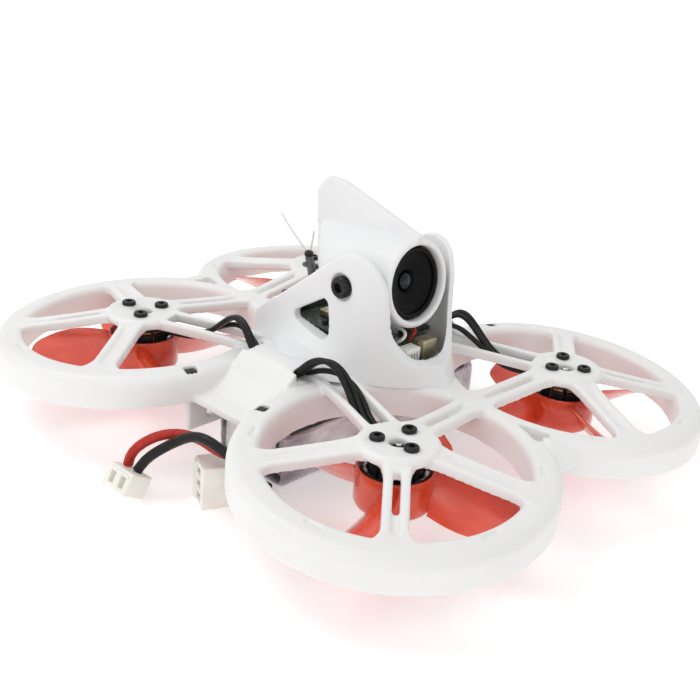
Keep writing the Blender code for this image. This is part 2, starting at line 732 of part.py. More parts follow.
def arc_points(radius, start, end):
    """Plan points of an arc about the nose's axis, ends included."""
    steps = 14
    angles = [start + (end - start) * step / steps for step in range(steps + 1)]
    return [(radius * math.cos(angle), NOSE_CENTRE_Y + radius * math.sin(angle))
            for angle in angles]


def make_canopy(mats):
    """Base plate, a wall of ears and nose that carries the camera, and a rear roof."""
    low, high = CANOPY_BASE, CANOPY_BASE + CANOPY_BASE_THICKNESS
    canopy = prism(rounded([(18.6, 0, 4), (0, 22.0, 4), (-18.6, 0, 4), (0, -22.0, 4)], 4),
                   low, high, "Z", "canopy")
    opening = prism(rounded([(EAR_INNER_X, -9.0, 1), (EAR_INNER_X, 8.0, 1),
                             (3.5, 13.0, 1), (-3.5, 13.0, 1), (-EAR_INNER_X, 8.0, 1),
                             (-EAR_INNER_X, -9.0, 1), (-3.5, -17.6, 1.5),
                             (3.5, -17.6, 1.5)], 2), low - 2, high + 2)
    cut(canopy, opening)
    unite(canopy, canopy_wall())
    roof_outline = [(14.4, low), (14.0, 5.4), (9.3, 9.3), (8.5, 8.3), (12.8, 4.8),
                    (13.2, low)]
    unite(canopy, prism(roof_outline, -EAR_OUTER_X + 0.4, EAR_OUTER_X - 0.4, "X"))
    cut(canopy, box((-0.95, 10.2, 6.5), (0.95, 13.6, 9.6)))
    window = prism(rounded([(4.2, 6.8, 0.9), (-3.1, 12.6, 0.9), (-3.9, 6.2, 0.9)], 3),
                   -12, 12, "X")
    cut(canopy, window)
    sideways = Matrix.Translation(PIVOT) @ Matrix.Rotation(math.pi / 2, 4, "Y")
    cut(canopy, rotated(cylinder(1.1, -12, 12, 10), sideways))
    for side in (-1, 1):
        seat = cylinder(2.25, *sorted((side * 9.9, side * 12)), 14)
        cut(canopy, rotated(seat, sideways))
    cut(canopy, cylinder(0.9, 0, 6, 10, CANOPY_SCREW))
    return finish(canopy, mats["white_plastic"])


def make_canopy_screw(mats):
    high = CANOPY_BASE + CANOPY_BASE_THICKNESS + 0.05
    screw = turned([(0, 2.9), (0.6, 2.9), (0.6, high), (1.15, high), (1.15, high + 0.5),
                    (0.7, high + 0.9), (0, high + 0.9)], 12, "canopy_screw", CANOPY_SCREW)
    finish(screw, mats["black_metal"])


def camera_space():
    """Matrix from the camera's own space, lens along -Y at the origin."""
    return Matrix.Translation(LENS_CENTRE) @ Matrix.Rotation(-CAMERA_PITCH, 4, "X")


def turned_along_lens(profile, segments, name):
    """Turn a (radius, depth behind the lens plane) outline about the lens axis."""
    obj = turned(profile, segments, name)
    return rotated(obj, camera_space() @ Matrix.Rotation(-math.pi / 2, 4, "X"))


def shell_radius(depth):
    return SHELL_FRONT_R + (SHELL_REAR_R - SHELL_FRONT_R) * depth / SHELL_LENGTH


def shell_half_width(depth):
    """Half width of the shell, whose tail narrows to an upright edge."""
    share = max(0.0, (depth - TAIL_START) / (SHELL_LENGTH - TAIL_START))
    return shell_radius(depth) * max(0.09, 1 - share ** 1.5)


def squeezed_barrel(stations, name):
    """Barrel about the lens axis from (depth, radius, half width) stations."""
    profile = [(0, stations[0][0])] + [(radius, depth) for depth, radius, _ in stations]
    barrel = turned(profile + [(0, stations[-1][0])], 32, name)
    squeeze = {round(depth, 3): half_width / radius for depth, radius, half_width in stations}
    for vertex in barrel.data.vertices:
        vertex.co.x *= squeeze[round(vertex.co.z, 3)]
    return rotated(barrel, camera_space() @ Matrix.Rotation(-math.pi / 2, 4, "X"))


def make_camera_shell(mats):
    """Barrel with a narrowing tail and a top fin; it tilts between the ears."""
    depths = (0.6, 7.0, TAIL_START, 15.5, 17.5, 19.3, 20.9, 22.3, SHELL_LENGTH)
    outside = [(0.0, SHELL_FRONT_R - 0.5, SHELL_FRONT_R - 0.5)]
    outside += [(depth, shell_radius(depth), shell_half_width(depth)) for depth in depths]
    inside = [(1.6, 6.45, 6.45)]
    inside += [(depth, shell_radius(depth) - SHELL_WALL, shell_half_width(depth) - SHELL_WALL)
               for depth in depths[1:-2]]
    shell = squeezed_barrel(outside, "camera_shell")
    cut(shell, squeezed_barrel(inside, "shell_cavity"))
    cut(shell, turned_along_lens([(0, -1.0), (6.4, -1.0), (6.4, 2.0), (0, 2.0)], 32, "lens_bore"))
    across = Matrix.Rotation(math.pi / 2, 4, "Y")
    for side in (-1, 1):
        boss = cylinder(2.6, *sorted((side * 7.2, side * 8.7)), 14)
        unite(shell, rotated(boss, Matrix.Translation(PIVOT) @ across))
    fin_outline = [(-12.9, 23.6), (-13.3, 24.9), (-10.6, 25.5), (-3.5, 27.5), (4.9, 29.7),
                   (8.0, 29.7), (10.2, 28.0), (10.6, 26.0), (10.4, 21.0), (5.0, 22.0),
                   (-5.0, 23.2)]
    unite(shell, prism(fin_outline, -0.65, 0.65, "X"))
    belly = prism([(-9.4, 7.0), (13.0, 14.6), (16.0, 2.0), (-9.0, 2.0)], -12, 12, "X")
    cut(shell, belly)
    slot = box((-12, 1.9, -1.3), (12, 5.0, 1.3))
    cut(shell, rotated(slot, camera_space()))
    cut(shell, rotated(cylinder(1.1, -12, 12, 10), Matrix.Translation(PIVOT) @ across))
    return finish(shell, mats["white_plastic"], PIVOT)


def make_pivot_screws(mats):
    """Screws through the ears into the shell's bosses; the camera tilts on them."""
    for name, side in (("camera_pivot_screw_right", -1), ("camera_pivot_screw_left", 1)):
        screw = turned([(0, 7.8), (0.8, 7.8), (0.8, 10.1), (1.9, 10.1), (1.9, 10.9),
                        (1.2, 11.5), (0.7, 10.8), (0, 10.8)], 12, name)
        turn = Matrix.Translation(PIVOT) @ Matrix.Rotation(side * math.pi / 2, 4, "Y")
        finish(rotated(screw, turn), mats["black_metal"], PIVOT)


def make_camera(mats):
    """Camera block, lens barrel and front glass."""
    body = bevelled_box((-4.6, 5.4, -4.6), (4.6, 14.5, 4.6), 0.8, "camera_body")
    finish(rotated(body, camera_space()), mats["camera_black"], PIVOT)
    barrel = turned_along_lens([(0, 4.0), (1.7, 4.0), (1.7, 3.2), (5.0, 1.9), (5.2, 1.2),
                                (5.9, 1.0), (6.05, 1.2), (6.05, 5.1), (0, 5.1)], 32,
                               "lens_barrel")
    finish(barrel, mats["camera_black"], PIVOT)
    glass = turned_along_lens([(0, 3.7), (1.35, 3.7), (1.35, 3.0), (0.8, 2.7), (0, 2.6)],
                              20, "lens_glass")
    finish(glass, mats["glass"], PIVOT)


# Battery --------------------------------------------------------------------
def make_battery(mats):
    half_y = BATTERY_SIZE[1] / 2
    left_x, right_x = BATTERY_END_X + BATTERY_SIZE[0], BATTERY_END_X
    low, high = BATTERY_BOTTOM, BATTERY_TOP
    sleeve = bevelled_box((right_x, -half_y, low), (left_x, half_y, high), 1.4,
                          "battery_sleeve", 2)
    cut(sleeve, box((right_x - 2, -half_y + 0.8, low + 0.8),
                    (left_x - 0.8, half_y - 0.8, high - 0.8)))
    finish(sleeve, mats["shrink_wrap"])
    middle = (low + high) / 2
    cells = bevelled_box((right_x + 1.6, -half_y + 1.1, low + 1.1),
                         (left_x - 1.1, half_y - 1.1, middle + 0.05), 0.6, "battery_cells")
    unite(cells, bevelled_box((right_x + 1.6, -half_y + 1.1, middle - 0.05),
                              (left_x - 1.1, half_y - 1.1, high - 1.1), 0.6),
          box((right_x + 0.2, -half_y + 2.2, low + 2.2),
              (right_x + 2.3, half_y - 2.2, high - 2.2)))
    finish(cells, mats["cell_foil"])


# Routes of the free leads, from the battery's end to the plug that lies on the floor.
RED_LEAD_ROUTE = [(-24.3, -0.8, -10.4), (-26.2, -1.3, -10.4), (-27.7, -3.0, -10.0),
                  (-28.1, -5.4, -9.2), (-29.3, -7.5, -8.3), (-31.6, -8.3, -7.5),
                  (-33.7, -7.1, -7.0), (-34.5, -4.6, -6.7), (-34.2, -1.9, -6.5),
                  (-34.9, 0.8, -6.3), (-36.4, 3.3, -6.3), (-38.6, 5.3, -7.1),
                  (-40.6, 6.9, -8.8), (-41.5, 7.7, -10.6), (-41.7, 7.85, -12.1)]
BLACK_LEAD_ROUTE = [(-24.3, -5.2, -12.0), (-26.7, -6.2, -12.1), (-28.8, -8.3, -11.9),
                    (-30.6, -10.6, -10.4), (-33.2, -10.7, -7.8), (-35.4, -7.9, -5.4),
                    (-36.1, -4.7, -4.2), (-36.4, -1.6, -4.7), (-37.3, 1.1, -6.5),
                    (-38.8, 3.0, -8.2), (-40.7, 4.4, -9.8), (-41.7, 5.35, -12.1)]
POWER_PLUG_CENTRE = Vector((-42.8, 6.6, -14.1))
BALANCE_PLUG_CENTRE = Vector((-33.6, -3.6, -13.0))


def make_battery_leads(mats):
    wire("power_lead_red", RED_LEAD_ROUTE, POWER_LEAD_R, mats["red_wire"])
    wire("power_lead_black", BLACK_LEAD_ROUTE, POWER_LEAD_R, mats["black_wire"])
    plug = bevelled_box((-2.1, -2.95, -1.9), (2.1, 2.95, 1.9), 0.3, "power_plug", 1)
    lean = Matrix.Translation(POWER_PLUG_CENTRE) @ Matrix.Rotation(math.radians(28), 4, "Y")
    finish(rotated(plug, lean), mats["nylon"])
    balance = bevelled_box((-2.6, -2.5, -3.75), (2.6, 2.5, 3.75), 0.3, "balance_plug", 1)
    turn = Matrix.Translation(BALANCE_PLUG_CENTRE) @ Matrix.Rotation(math.radians(-25), 4, "Z")
    finish(rotated(balance, turn), mats["nylon"])
    make_balance_leads(mats)


def make_balance_leads(mats):
    """Three short leads, flat on the floor from their sleeve to the balance plug."""
    floor = BATTERY_BOTTOM + BALANCE_LEAD_R + 0.1
    leads = bevelled_box((BATTERY_END_X - 2.1, -7.3, BATTERY_BOTTOM + 0.1),
                         (BATTERY_END_X - GAP, -3.95, -15.3), 0.2, "balance_leads", 1)
    for start_y, end_x, end_y, height in ((-4.5, -30.4, -4.0, -10.9), (-5.6, -30.7, -5.0, -12.9),
                                          (-6.7, -31.1, -6.0, -14.9)):
        route = [(BATTERY_END_X - 1.2, start_y, floor), (-27.6, start_y, floor),
                 (-29.7, (start_y + end_y) / 2, floor + 0.1), (end_x + 0.4, end_y, floor + 0.9),
                 (end_x + 0.5, end_y, (floor + height) / 2), (end_x + 0.4, end_y, height - 0.5),
                 (end_x, end_y, height)]
        unite(leads, wire_solid(route, BALANCE_LEAD_R))
    finish(leads, mats["black_wire"])


def main():
    clear_scene()
    mats = make_materials()
    for corner in CORNERS:
        make_duct(corner, mats)
        make_motor_mount(corner, mats)
        make_stator(corner, mats)
        make_windings(corner, mats)
        make_bell(corner, mats)
        make_propeller(corner, mats)
        make_mount_screws(corner, mats)
        make_motor_leads(corner, mats)
    make_deck(mats)
    make_bridges(mats)
    make_flight_controller(mats)
    make_video_transmitter(mats)
    make_antenna(mats)
    make_canopy(mats)
    make_canopy_screw(mats)
    make_camera_shell(mats)
    make_pivot_screws(mats)
    make_camera(mats)
    make_battery(mats)
    make_battery_leads(mats)


main()
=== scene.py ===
"""Looks of the ducted micro racing drone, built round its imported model.

Shapes are made in millimetres, with heights counted from the plane of the duct
lips at the motor axes; place() turns them into metres and stands them on the floor.
Front is -Y and the drone's left is +X.
"""

import json
import math

import bmesh
import bpy
from mathutils import Matrix, Vector, noise


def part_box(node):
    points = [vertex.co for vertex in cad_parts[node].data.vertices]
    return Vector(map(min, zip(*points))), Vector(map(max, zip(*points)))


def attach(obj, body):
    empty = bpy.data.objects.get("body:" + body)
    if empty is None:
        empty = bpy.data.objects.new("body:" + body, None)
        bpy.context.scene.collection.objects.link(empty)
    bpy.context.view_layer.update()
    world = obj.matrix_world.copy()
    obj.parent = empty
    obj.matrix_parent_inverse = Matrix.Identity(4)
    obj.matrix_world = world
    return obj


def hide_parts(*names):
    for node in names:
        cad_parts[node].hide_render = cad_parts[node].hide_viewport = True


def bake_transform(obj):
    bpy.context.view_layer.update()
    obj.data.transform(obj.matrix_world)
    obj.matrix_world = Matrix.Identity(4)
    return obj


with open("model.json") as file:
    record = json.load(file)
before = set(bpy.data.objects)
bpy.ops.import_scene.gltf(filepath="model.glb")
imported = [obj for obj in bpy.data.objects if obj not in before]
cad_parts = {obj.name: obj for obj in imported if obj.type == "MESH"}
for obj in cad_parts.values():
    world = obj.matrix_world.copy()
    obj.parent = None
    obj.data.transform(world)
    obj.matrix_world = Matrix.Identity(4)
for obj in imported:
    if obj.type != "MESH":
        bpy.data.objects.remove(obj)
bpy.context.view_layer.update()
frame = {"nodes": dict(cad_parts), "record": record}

MM = 0.001
LIP_HEIGHT = 16.8
CORNERS = {"front_right": (-1, -1), "rear_right": (-1, 1),
           "front_left": (1, -1), "rear_left": (1, 1)}
JOINTS = {joint["name"]: joint for joint in frame["record"]["behaviour"]["joints"]}

# Frame
DROOP = 0.07
THROAT_R, DUCT_R, DUCT_HEIGHT = 20.3, 25.1, 5.6
HUB_R, HUB_TOP, HUB_BOTTOM = 6.5, 2.3, 0.6
CHANNEL_ANGLE, BAND_SLOT_ANGLE, NOTCH_ANGLES = 250, 287.5, (12, 78, 130, 305)
# Each strut: angle, waist, width and depth of its groove.
STRUTS = ((41.5, 3.9, 1.15, 0.7), (113, 4.3, 1.5, 0.5), (188, 4.4, 1.2, 1.1), (325, 4.1, 1.5, 0.5))
SCREW_ANGLES = (75, 195, 315)
SCREW_CIRCLE_R = 3.3
DECK_TOP, DECK_THICKNESS = 1.0, 1.4

# Motors and propellers
PROPELLER_R, CUP_R = 19.6, 6.15
CUP_TOP, CUP_BOTTOM = -2.0, -8.4
BELL_R, BELL_TOP, BELL_BOTTOM = 5.4, -2.3, -6.9
SHAFT_R = 0.5
COILS = 9
MAGNETS = 12

# Canopy and camera
CANOPY_BASE, CANOPY_SCREW_Y = 3.3, 17.4
FOOT_REACH_X, FOOT_REACH_Y = 18.6, 22.0
EAR_INNER_X, EAR_OUTER_X = 9.0, 10.5
NOSE_CENTRE_Y, NOSE_INNER_R = -8.5, 9.45
PIVOT = Vector((0.0, -6.0, 15.9))
CAMERA_PITCH = math.radians(8)
LENS_CENTRE = Vector((0.0, -13.7, 16.7))
# CAMERA_SPACE puts the camera's own space in place, its lens at the origin looking along -Y.
# ALONG_LENS lays an upright axis along the lens, and ACROSS_PIVOT along the tilt pivot.
CAMERA_SPACE = Matrix.Translation(LENS_CENTRE) @ Matrix.Rotation(-CAMERA_PITCH, 4, "X")
ALONG_LENS = CAMERA_SPACE @ Matrix.Rotation(-math.pi / 2, 4, "X")
ACROSS_PIVOT = Matrix.Translation(PIVOT) @ Matrix.Rotation(math.pi / 2, 4, "Y")
SHELL_FRONT_R, SHELL_REAR_R, SHELL_LENGTH = 7.6, 8.4, 23.4
SHELL_WALL, TAIL_START = 1.2, 13.0

# Wires
MOTOR_LEAD_R, POWER_LEAD_R, BALANCE_LEAD_R = 0.48, 0.82, 0.5
RED_LEAD_ROUTE = [(-24.3, -0.8, -10.4), (-26.2, -1.3, -10.4), (-27.7, -3.0, -10.0),
                  (-28.1, -5.4, -9.2), (-29.3, -7.5, -8.3), (-31.6, -8.3, -7.5),
                  (-33.7, -7.1, -7.0), (-34.5, -4.6, -6.7), (-34.2, -1.9, -6.5),
                  (-34.9, 0.8, -6.3), (-36.4, 3.3, -6.3), (-38.6, 5.3, -7.1),
                  (-40.6, 6.9, -8.8), (-41.5, 7.7, -10.6), (-41.7, 7.85, -12.1)]
BLACK_LEAD_ROUTE = [(-24.3, -5.2, -12.0), (-26.7, -6.2, -12.1), (-28.8, -8.3, -11.9),
                    (-30.6, -10.6, -10.4), (-33.2, -10.7, -7.8), (-35.4, -7.9, -5.4),
                    (-36.1, -4.7, -4.2), (-36.4, -1.6, -4.7), (-37.3, 1.1, -6.5),
                    (-38.8, 3.0, -8.2), (-40.7, 4.4, -9.8), (-41.7, 5.35, -12.1)]
POWER_PLUG_CENTRE = Vector((-42.8, 6.6, -14.1))
BALANCE_PLUG_CENTRE = Vector((-33.6, -3.6, -13.0))


# Mesh helpers
def linked(name, data):
    obj = bpy.data.objects.new(name, data)
    bpy.context.scene.collection.objects.link(obj)
    return obj


def in_metres(point):
    """A point in millimetres over the lip plane, as metres over the floor."""
    return (Vector(point) + Vector((0, 0, LIP_HEIGHT))) * MM


def to_object(bm, name):
    """Turn an edit mesh into a scene object, its faces pointing out."""
    bmesh.ops.recalc_face_normals(bm, faces=bm.faces)
    mesh = bpy.data.meshes.new(name)
    bm.to_mesh(mesh)
    bm.free()
    return linked(name, mesh)


def evaluated_mesh(obj):
    """Mesh of an object as its modifiers, or its bevelled curve, shape it."""
    bpy.context.view_layer.update()
    evaluated = obj.evaluated_get(bpy.context.evaluated_depsgraph_get())
    return bpy.data.meshes.new_from_object(evaluated)


def modify(obj, kind, **settings):
    modifier = obj.modifiers.new(kind.lower(), kind)
    for name, value in settings.items():
        setattr(modifier, name, value)
    return obj


def apply_modifiers(obj):
    result = evaluated_mesh(obj)
    obj.modifiers.clear()
    obj.data = result
    return obj


def combine(target, tool, operation):
    apply_modifiers(modify(target, "BOOLEAN", operation=operation, object=tool))
    bpy.data.objects.remove(tool)
    return target


def cut(target, *tools):
    for tool in tools:
        combine(target, tool, "DIFFERENCE")
    return target


def unite(target, *tools):
    for tool in tools:
        combine(target, tool, "UNION")
    return target


def joined(name, parts):
    """Put several objects' meshes into one object, as separate shells."""
    bm = bmesh.new()
    for part in parts:
        part.data.transform(part.matrix_world)
        bm.from_mesh(part.data)
        bpy.data.objects.remove(part)
    mesh = bpy.data.meshes.new(name)
    bm.to_mesh(mesh)
    bm.free()
    return linked(name, mesh)


def moulded(name, parts, voxel, smoothing, keep):
    """Melt overlapping parts into one skin with soft, filleted edges."""
    obj = joined(name, parts)
    modify(obj, "REMESH", mode="VOXEL", voxel_size=voxel)
    modify(obj, "SMOOTH", factor=0.5, iterations=smoothing)
    return apply_modifiers(modify(obj, "DECIMATE", ratio=keep))


def box(corner, opposite, name="box"):
    """Box between two opposite corners, whichever way round they are given."""
    low, high = map(Vector, zip(*(sorted(pair) for pair in zip(corner, opposite))))
    bm = bmesh.new()
    bmesh.ops.create_cube(bm, size=1.0)
    bmesh.ops.scale(bm, vec=high - low, verts=bm.verts)
    bmesh.ops.translate(bm, vec=(low + high) / 2, verts=bm.verts)
    return to_object(bm, name)


def bevelled_box(corner, opposite, bevel, name="box", segments=3):
    obj = box(corner, opposite, name)
    bm = bmesh.new()
    bm.from_mesh(obj.data)
    bmesh.ops.bevel(bm, geom=bm.edges, offset=bevel, segments=segments,
                    profile=0.5, affect="EDGES")
    bm.to_mesh(obj.data)
    bm.free()
    return obj


def turned(profile, segments, name="turned", centre=(0, 0)):
    """Revolve a closed (radius, height) outline about a vertical axis."""
    bm = bmesh.new()
    rings = []
    for radius, height in profile:
        if radius < 1e-6:
            rings.append([bm.verts.new((centre[0], centre[1], height))] * segments)
            continue
        ring = []
        for step in range(segments):
            angle = 2 * math.pi * step / segments
            ring.append(bm.verts.new((centre[0] + radius * math.cos(angle),
                                      centre[1] + radius * math.sin(angle), height)))
        rings.append(ring)
    for index, ring in enumerate(rings):
        following = rings[(index + 1) % len(rings)]
        if ring[0] is ring[1] and following[0] is following[1]:
            continue
        for step in range(segments):
            after = (step + 1) % segments
            corners = [ring[step], ring[after], following[after], following[step]]
            bm.faces.new(list(dict.fromkeys(corners)))
    return to_object(bm, name)


def cylinder(radius, low, high, segments=32, centre=(0, 0)):
    low, high = sorted((low, high))
    return turned([(0, low), (radius, low), (radius, high), (0, high)],
                  segments, "cylinder", centre)


def prism(outline, low, high, axis="Z", name="prism"):
    """Extrude an outline: (x, y) along Z, (y, z) along X or (x, z) along Y."""
    low, high = sorted((low, high))
    place_point = {"Z": lambda a, b, c: (a, b, c),
                   "X": lambda a, b, c: (c, a, b),
                   "Y": lambda a, b, c: (a, c, b)}[axis]
    bm = bmesh.new()
    bottom = [bm.verts.new(place_point(a, b, low)) for a, b in outline]
    top = [bm.verts.new(place_point(a, b, high)) for a, b in outline]
    bm.faces.new(bottom)
    bm.faces.new(top[::-1])
    for index in range(len(outline)):
        after = (index + 1) % len(outline)
        bm.faces.new([bottom[index], bottom[after], top[after], top[index]])
    return to_object(bm, name)


def rounded(corners, segments=6):
    """Outline from (a, b, fillet radius) corners, with arcs at the corners."""
    points = []
    count = len(corners)
    for index, (a, b, radius) in enumerate(corners):
        here = Vector((a, b))
        if radius <= 0:
            points.append((a, b))
            continue
        before = (Vector(corners[index - 1][:2]) - here).normalized()
        after = (Vector(corners[(index + 1) % count][:2]) - here).normalized()
        half = before.angle(after) / 2
        centre = here + (before + after).normalized() * (radius / math.sin(half))
        start = here + before * (radius / math.tan(half)) - centre
        end = here + after * (radius / math.tan(half)) - centre
        sweep = start.angle_signed(end)
        for step in range(segments + 1):
            turn = Matrix.Rotation(-sweep * step / segments, 2)
            points.append(tuple(centre + turn @ start))
    return points


def arc(centre_a, centre_b, radius, start, end, steps):
    """Points of an arc, both ends included."""
    angles = [start + (end - start) * step / steps for step in range(steps + 1)]
    return [(centre_a + radius * math.cos(angle), centre_b + radius * math.sin(angle))
            for angle in angles]


def loft(rings, name):
    """Skin closed rings of equal point counts, with the two ends capped."""
    bm = bmesh.new()
    made = [[bm.verts.new(point) for point in ring] for ring in rings]
    for ring, following in zip(made, made[1:]):
        for index in range(len(ring)):
            after = (index + 1) % len(ring)
            bm.faces.new([ring[index], ring[after], following[after], following[index]])
    bm.faces.new(made[0])
    bm.faces.new(made[-1])
    return to_object(bm, name)


def rotated(obj, matrix):
    obj.data.transform(matrix)
    return obj


def copied(obj, name):
    return linked(name, obj.data.copy())


def bevel_edges(obj, width, segments=2):
    """Round every edge that is sharper than 35 degrees."""
    return apply_modifiers(modify(obj, "BEVEL", width=width, segments=segments,
                                  limit_method="ANGLE", angle_limit=math.radians(35)))


def smooth_route(points, spacing):
    """Points about `spacing` apart along a cubic B-spline that a route steers."""
    ends = [2 * points[0] - points[1]] + points + [2 * points[-1] - points[-2]]
    fine = []
    for index in range(1, len(ends) - 2):
        p0, p1, p2, p3 = ends[index - 1:index + 3]
        for step in range(12):
            t = step / 12
            fine.append(((1 - t) ** 3 * p0 + (3 * t ** 3 - 6 * t ** 2 + 4) * p1
                         + (-3 * t ** 3 + 3 * t ** 2 + 3 * t + 1) * p2 + t ** 3 * p3) / 6)
    fine.append(ends[-2])
    kept, travelled = [fine[0]], 0.0
    for before, after in zip(fine, fine[1:]):
        travelled += (after - before).length
        if travelled >= spacing:
            kept.append(after)
            travelled = 0.0
    if travelled < spacing * 0.4:
        kept.pop()
    kept.append(fine[-1])
    return kept


def meshed(curve):
    """Mesh that takes a curve piece's place and name."""
    name, mesh = curve.name, evaluated_mesh(curve)
    bpy.data.objects.remove(curve)
    mesh.shade_smooth()
    return linked(name, mesh)


def place(obj, body, material, replaces=(), sharp_degrees=40, bend=None):
    """Scale a finished piece to metres, dress it and let it ride on its body.

    bend names a second body and two points, which are not used; a piece given one is made a plain mesh
    with its placement baked in and rides on no body.
    """
    obj.data.materials.clear()
    obj.data.materials.append(MATS[material])
    if obj.type == "MESH":
        to_metres = Matrix.Scale(MM, 4) @ Matrix.Translation((0, 0, LIP_HEIGHT))
        obj.data.transform(to_metres)
        obj.data.shade_smooth()
        if sharp_degrees:
            obj.data.set_sharp_from_angle(angle=math.radians(sharp_degrees))
    if bend:
        obj = meshed(obj)
        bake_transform(obj)
    else:
        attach(obj, body)
    if replaces:
        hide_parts(*replaces)
    return obj


def lay_wire(name, route, radius, body, material, replaces=(), bend=None, resolution=5):
    """Place a round wire with closed ends; returns it and its length in metres."""
    curve = bpy.data.curves.new(name, "CURVE")
    curve.dimensions = "3D"
    curve.bevel_depth = radius * MM
    curve.bevel_resolution = resolution
    curve.use_fill_caps = True
    points = smooth_route([Vector(point) for point in route], radius * 1.2)
    spline = curve.splines.new("POLY")
    spline.points.add(len(points) - 1)
    for target, point in zip(spline.points, points):
        target.co = (*in_metres(point), 1.0)
    spline.use_smooth = True
    length = sum((b - a).length for a, b in zip(points, points[1:])) * MM
    return place(linked(name, curve), body, material, replaces, bend=bend), length


# Materials
def set_sockets(node, values):
    """Set a node's inputs, underscores standing for the spaces in their names."""
    for socket, value in values.items():
        node.inputs[socket.replace("_", " ")].default_value = value


def principled(name, colour, roughness, metallic=0.0, **sockets):
    mat = bpy.data.materials.new(name)
    mat.use_nodes = True
    set_sockets(mat.node_tree.nodes["Principled BSDF"],
                {"Base_Color": (*colour, 1.0), "Roughness": roughness, "Metallic": metallic, **sockets})
    mat.diffuse_color = (*colour, 1.0)
    return mat


def pattern(mat, kind, stretch=(1, 1, 1), **sockets):
    """Texture node of a kind, in the object's own space."""
    nodes, links = mat.node_tree.nodes, mat.node_tree.links
    mapping = nodes.new("ShaderNodeMapping")
    mapping.inputs["Scale"].default_value = stretch
    texture = nodes.new("ShaderNodeTex" + kind)
    set_sockets(texture, sockets)
    coordinates = nodes.new("ShaderNodeTexCoord")
    links.new(coordinates.outputs["Object"], mapping.inputs["Vector"])
    links.new(mapping.outputs["Vector"], texture.inputs["Vector"])
    return texture


def object_noise(mat, scale, detail=3.0, stretch=(1, 1, 1)):
    """Noise in the object's own space; returns its factor socket."""
    return pattern(mat, "Noise", stretch, Scale=scale, Detail=detail).outputs["Fac"]


def ramp(mat, factor, stops, target):
    """Drive one shader socket from a factor through a colour ramp."""
    nodes, links = mat.node_tree.nodes, mat.node_tree.links
    colours = nodes.new("ShaderNodeValToRGB")
    while len(colours.color_ramp.elements) < len(stops):
        colours.color_ramp.elements.new(0.5)
    for element, (position, value) in zip(colours.color_ramp.elements, stops):
        element.position = position
        element.color = (*value, 1.0) if hasattr(value, "__len__") else (value,) * 3 + (1.0,)
    links.new(factor, colours.inputs["Fac"])
    links.new(colours.outputs["Color"], nodes["Principled BSDF"].inputs[target])
    return mat


def bump(mat, factor, strength, distance):
    nodes, links = mat.node_tree.nodes, mat.node_tree.links
    relief = nodes.new("ShaderNodeBump")
    relief.inputs["Strength"].default_value = strength
    relief.inputs["Distance"].default_value = distance
    links.new(factor, relief.inputs["Height"])
    previous = nodes["Principled BSDF"].inputs["Normal"]
    if previous.is_linked:
        links.new(previous.links[0].from_socket, relief.inputs["Normal"])
    links.new(relief.outputs["Normal"], previous)
    return mat


def moulded_plastic(name, light, dark, roughness=0.42):
    """White moulded plastic: faint cloudiness, fine spark-eroded grain."""
    mat = principled(name, light, roughness, Subsurface_Weight=0.25, Subsurface_Scale=0.0015,
                     Subsurface_Radius=(1.0, 0.75, 0.6), Coat_Weight=0.08, Coat_Roughness=0.3)
    clouds = object_noise(mat, 55, 4)
    ramp(mat, clouds, [(0.3, dark), (0.7, light)], "Base Color")
    ramp(mat, object_noise(mat, 420, 3), [(0.3, roughness - 0.08), (0.7, roughness + 0.1)],
         "Roughness")
    bump(mat, object_noise(mat, 4500, 2), 0.12, 0.00004)
    bump(mat, object_noise(mat, 260, 3), 0.10, 0.0001)
    return mat


def translucent_red():
    mat = principled("propeller_red", (0.80, 0.06, 0.012), 0.16, Coat_Weight=0.5,
                     Coat_Roughness=0.08, IOR=1.5, Alpha=0.8,
                     Subsurface_Weight=0.25, Subsurface_Scale=0.003)
    flow = object_noise(mat, 160, 3, (1, 1, 2.5))
    ramp(mat, flow, [(0.3, (0.72, 0.045, 0.010)), (0.7, (0.88, 0.085, 0.022))], "Base Color")
    ramp(mat, object_noise(mat, 700, 2), [(0.3, 0.12), (0.7, 0.24)], "Roughness")
    bump(mat, object_noise(mat, 350, 2, (1, 1, 3)), 0.08, 0.0001)
    return mat


def dark_metal(name, colour, roughness, metallic, grain, shine=0.35):
    mat = principled(name, colour, roughness, metallic, Specular_IOR_Level=shine)
    light = tuple(min(1.0, channel * 1.8 + 0.002) for channel in colour)
    ramp(mat, object_noise(mat, grain, 4), [(0.35, colour), (0.75, light)], "Base Color")
    ramp(mat, object_noise(mat, grain * 2, 3), [(0.3, roughness - 0.08), (0.7, roughness + 0.12)],
         "Roughness")
    bump(mat, object_noise(mat, grain * 3, 2), 0.15, 0.00003)
    return mat


def silicone(name, colour, lighter):
    """Wire insulation: soft sheen, fine talc-dry grain and faint dust."""
    mat = principled(name, colour, 0.42, Sheen_Weight=0.02, Sheen_Roughness=0.4,
                     Specular_IOR_Level=0.3)
    ramp(mat, object_noise(mat, 900, 4), [(0.4, colour), (0.75, lighter)], "Base Color")
    ramp(mat, object_noise(mat, 1500, 3), [(0.3, 0.34), (0.7, 0.55)], "Roughness")
    bump(mat, object_noise(mat, 5200, 2), 0.2, 0.00003)
    return mat


